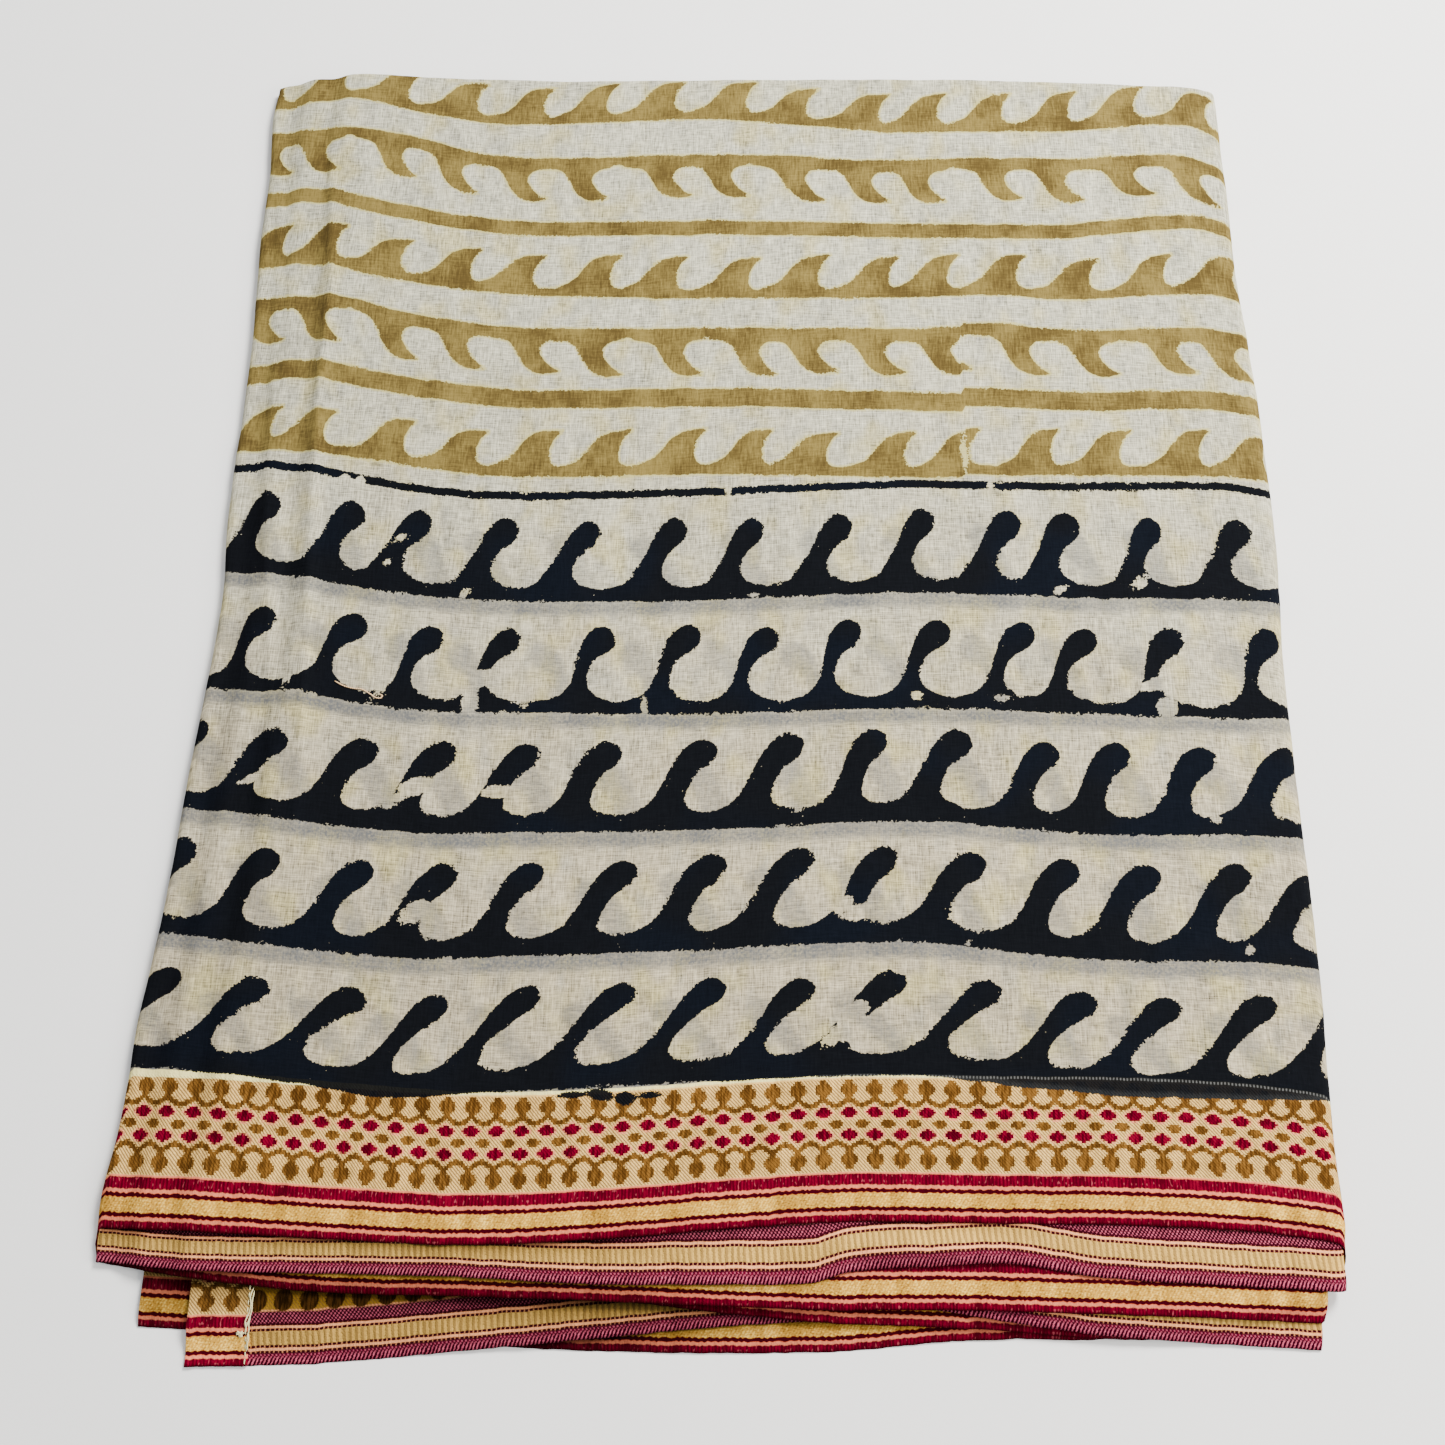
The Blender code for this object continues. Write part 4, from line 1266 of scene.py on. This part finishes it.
def inner_cloth(material):
    """The far folds of the hidden layers, and the hemmed ends of the lowest four along the left."""
    parts = []
    radius = PITCH / 2
    for upper, inset in FOLD_INSETS.items():
        share = steps(HEM_SHARE.get(upper, FOLD_FIRST), FOLD_LAST, FOLD_STEP / PACK_WIDTH)[:, None]
        x_edge = across(share, FAR_STATION)
        fold = far_line(x_edge) - CLOTH / 2 - inset + 0.9 * wander(x_edge, 80 + upper, 25, 220)
        back = steps(-FOLD_DEPTH, 0, FOLD_STEP)[:-1]
        angle = steps(0, math.pi, TIGHT_TURN)
        reach = np.concatenate([back, radius * np.sin(angle), back[::-1]])[None, :]
        down = np.concatenate([0 * back, radius * (1 - np.cos(angle)), 0 * back + PITCH])[None, :]
        run = np.concatenate([back, radius * angle, math.pi * radius - back[::-1]])[None, :]
        y = fold - radius + reach
        top = layer_height(upper, share, fold + 0 * y) - 0.3 + 0.1 * wander(x_edge, 90 + upper, 30, 150)
        z = np.maximum(top - down, CLOTH / 2 + 0.1 * (LAYERS - upper))
        parts.append((across(share, y), y, z, x_edge + 0 * y, FAR_STATION + run + 0 * y))
    for layer in HEM_SHARE:
        y = steps(STRIP_BACK, FAR_STATION - 5, FOLD_STEP)[:, None]
        turned = 1 if layer % 2 == 0 else -1
        back = steps(END_DEPTH, 0, END_STEP)
        angle = steps(0, math.pi, 0.6)[1:-1]
        over = steps(0, END_TURN, END_STEP)
        step_x = np.concatenate([back, -END_RADIUS * np.sin(angle), over])[None, :]
        rise = np.concatenate([0 * back, END_RADIUS * (1 - np.cos(angle)), 0 * over + 2 * END_RADIUS])
        rise = rise[None, :] * turned * 0.6
        run = np.concatenate([back, -END_RADIUS * angle, -END_RADIUS * math.pi - over])[None, :]
        x = across(HEM_SHARE[layer], y) + 0.6 * wander(y, 100 + layer, 20, 200) + step_x
        z = layer_height(layer, HEM_SHARE[layer], y) + rise + 0 * x
        parts.append((x, y + 0 * x, np.maximum(z, CLOTH), run + 0 * x, y + 0 * x))
    piece = grids_piece("inner_cloth", parts, material)
    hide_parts("inner_folds")
    return piece


def under_cloth(material):
    """The underside of layer 8, which lies on the floor with the print down."""
    columns = steps(LAST_SHARE, HEM_SHARE[8], UNDER_STEP / PACK_WIDTH)[:, None]
    rows = steps(0, 1, UNDER_STEP / UNDER_DEPTH)[None, :]
    x_near = across(columns, 0)
    near = near_edge(LAYERS, x_near) + UNDER_NEAR
    far = far_line(across(columns, FAR_STATION)) - UNDER_FAR
    y = near + (far - near) * rows
    x = across(columns, y)
    edge = across(LAST_SHARE, y)
    reach = math.pi * PITCH * (LAYERS - 1) / 2
    u = 2 * edge + reach - x
    z = 0 * x + CLOTH / 2 + FLOOR_GAP
    v = y - near
    piece = grid_piece("under_cloth", x, y, z, u, v, [material], print_values(u, y))
    return piece


def tube(points, radius, sides=6, parts=5):
    """A thread on a smooth line through points: a grid of x, y and z, with u along it and v round it."""
    points = np.array(points, float)
    fine = np.array([*smooth_line(points, parts, 0, len(points) - 1), points[-1]])
    ways = np.gradient(fine, axis=0)
    ways /= np.linalg.norm(ways, axis=1)[:, None]
    beside = np.cross(ways, (0, 0, 1.0))
    beside /= np.linalg.norm(beside, axis=1)[:, None] + 1e-9
    above = np.cross(beside, ways)
    turn = np.linspace(0, 2 * math.pi, sides + 1)
    from_end = np.minimum(np.arange(len(fine)), np.arange(len(fine))[::-1])
    taper = radius * np.minimum(1, 0.35 + 0.65 * from_end / 2)
    ring = np.cos(turn)[None, :, None] * beside[:, None, :] + np.sin(turn)[None, :, None] * above[:, None, :]
    x, y, z = np.moveaxis(fine[:, None, :] + taper[:, None, None] * ring, -1, 0)
    run = np.concatenate([[0], np.cumsum(np.linalg.norm(np.diff(fine, axis=0), axis=1))])
    return x, y, z, run[:, None] + 0 * turn[None, :], turn[None, :] + 0 * run[:, None]


def threads(name, runs, radius, material, pinkish):
    return grids_piece(name, [tube(run, radius) for run in runs], material, {"pinkish": pinkish})


# Loose ends of the hem's sewing thread: across the hem from its fold, from its selvedge, height over it
HEM_THREADS = (
    ((23.6, 27.5, 0.3), (22.8, 24.6, 0.7), (23.4, 21.6, 0.9), (23.0, 18.6, 0.7), (22.0, 15.6, 0.9),
     (22.6, 12.2, 0.4)),
    ((24.0, 26.4, 0.3), (23.7, 22.8, 0.6), (24.0, 19.6, 1.1), (23.3, 16.4, 0.8), (22.5, 13.6, 0.9),
     (22.0, 11.4, 0.4)),
    ((23.6, 17.4, 0.3), (23.3, 14.8, 0.5), (23.5, 12.6, 0.5), (23.0, 10.4, 0.6), (22.8, 8.2, 0.5),
     (22.7, 5.2, 0.3)),
    ((23.1, 12.0, 0.3), (23.5, 9.6, 0.7), (23.0, 7.2, 0.7), (23.2, 5.6, 0.3)),
)

# Where the knot is on the hem, where its stitches run, and the radius of its thread
HEM_KNOT = (20.2, 11.4)
STITCH_FIRST, STITCH_END, STITCH_PITCH = 0.8, 44, 2.6
STITCH_INSET = 0.8
HEM_THREAD_RADIUS = 0.22

# The loose thread on the face: across and along
LOOSE_THREAD = (
    (-169.4, 220.8), (-166.6, 219.2), (-164.4, 218.2), (-160.9, 217.3), (-157.2, 216.9),
    (-153.4, 214.7), (-151.2, 213.2), (-149.0, 212.9), (-148.2, 214.0), (-149.4, 214.6),
)
LOOSE_THREAD_RADIUS = 0.28
LOOSE_THREAD_RISE = 0.3


def hem_threads(material):
    """The stitches along the hem's edge, its loose thread ends and their knot."""
    runs = []
    for start in np.arange(STITCH_FIRST, STITCH_END, STITCH_PITCH):
        x, y, z = hem_place(np.full(3, HEM_WIDTH - STITCH_INSET), start + np.array([0, 0.9, 1.8]))
        runs.append(np.column_stack([x, y, z + 2 * HEM_RADIUS + np.array([0.05, 0.3, 0.05])]))
    for thread in HEM_THREADS:
        t, v, over = np.array(thread).T
        x, y, z = hem_place(t, v)
        runs.append(np.column_stack([x, y, z + 2 * HEM_RADIUS + over]))
    turn = np.arange(14) * 2.2
    size = 1.5 * (0.25 + 0.75 * np.sin(turn * 0.71) ** 2)
    x, y, z = hem_place(HEM_KNOT[0] + size * np.cos(turn), HEM_KNOT[1] + 0.8 * size * np.sin(turn))
    runs.append(np.column_stack([x, y, z + 2 * HEM_RADIUS + 0.35 + 0.45 * np.sin(turn * 0.83) ** 2]))
    piece = threads("hem_threads", runs, HEM_THREAD_RADIUS, material, 0.1)
    return piece


def loose_thread(material):
    """A short end of thread that lies on the face."""
    x, y = np.array(LOOSE_THREAD).T
    share = (x - line_at(SIDE_ROWS, LEFT, y)) / pack_width(y)
    z = layer_height(1, share, y) + LOOSE_THREAD_RISE
    piece = threads("loose_thread", [np.column_stack([x, y, z])], LOOSE_THREAD_RADIUS, material, 0.9)
    return piece


COTTON = printed_cotton()
FRONT = border_front()
FRONT_INKED = border_front("border_front_inked", inked=True)
REVERSE = border_reverse()
CREAM = cream_thread()
face_cloth(COTTON, FRONT_INKED)
for number in range(2, LAYERS + 1):
    if number % 2 == 0:
        strip(number, REVERSE, "border_reverse")
    else:
        strip(number, FRONT, "border_front")
# The hem's border is a lit copy of the front, its colour raised 1.45 times as painted light
hem_cloth(border_front("border_front_hem_lit", painted_light_gain=1.45))
inner_cloth(plain_cotton())
under_cloth(COTTON)
hem_threads(CREAM)
loose_thread(CREAM)

# Camera, lights and floor

PHOTO_SIDE = 1445.0
SENSOR = 36.0
FOCAL_PIXELS = 1605.56
FOCAL = FOCAL_PIXELS / PHOTO_SIDE * SENSOR
CAMERA_PLACE = (0.00482, -0.27745, 0.6445)
CAMERA_PITCH = math.radians(20.404)
CAMERA_YAW = math.radians(2.783)
CAMERA_ROLL = math.radians(-1.764)

# Lights: place, size, watts and colour
KEY = ((0.75, 0.85, 1.15), 0.6, 64, (1.0, 0.99, 0.97))
FILL = ((1.2, -0.3, 0.8), 0.8, 18, (1.0, 0.97, 0.92))
SKY_COLOUR = (0.93, 0.95, 1.0, 1)
SKY_STRENGTH = 0.8
FLOOR_HALF = 6.0


def camera():
    data = bpy.data.cameras.new("camera")
    data.sensor_width = SENSOR
    data.lens = FOCAL
    data.clip_start = 0.05
    eye = bpy.data.objects.new("camera", data)
    bpy.context.scene.collection.objects.link(eye)
    forward = Vector((0, math.sin(CAMERA_PITCH), -math.cos(CAMERA_PITCH)))
    right = Vector((1, 0, 0))
    up = right.cross(forward)
    right_rolled = math.cos(CAMERA_ROLL) * right + math.sin(CAMERA_ROLL) * up
    up_rolled = math.cos(CAMERA_ROLL) * up - math.sin(CAMERA_ROLL) * right
    axes = Matrix((right_rolled, up_rolled, -forward)).transposed()
    turned = Matrix.Rotation(CAMERA_YAW, 3, "Z") @ axes
    eye.matrix_world = Matrix.Translation(CAMERA_PLACE) @ turned.to_4x4()
    bpy.context.scene.camera = eye


def area_light(name, place_at, size, energy, colour):
    """A round light that points at the origin of the row frame."""
    data = bpy.data.lights.new(name, "AREA")
    data.shape = "DISK"
    data.size = size
    data.energy = energy
    data.color = colour
    lamp = bpy.data.objects.new(name, data)
    lamp.location = place_at
    lamp.rotation_euler = (-Vector(place_at)).to_track_quat("-Z", "Y").to_euler()
    bpy.context.scene.collection.objects.link(lamp)
    return lamp


def stage():
    mesh = bpy.data.meshes.new("floor")
    corners = [(x * FLOOR_HALF, y * FLOOR_HALF, 0) for x, y in ((-1, -1), (1, -1), (1, 1), (-1, 1))]
    mesh.from_pydata(corners, [], [(0, 1, 2, 3)])
    floor = bpy.data.objects.new("floor", mesh)
    mesh.materials.append(floor_finish())
    bpy.context.scene.collection.objects.link(floor)
    world = bpy.data.worlds.new("studio")
    world.use_nodes = True
    sky = world.node_tree.nodes["Background"]
    sky.inputs["Color"].default_value = SKY_COLOUR
    sky.inputs["Strength"].default_value = SKY_STRENGTH
    bpy.context.scene.world = world
    key = area_light("key", *KEY)
    fill = area_light("fill", *FILL)


camera()
stage()
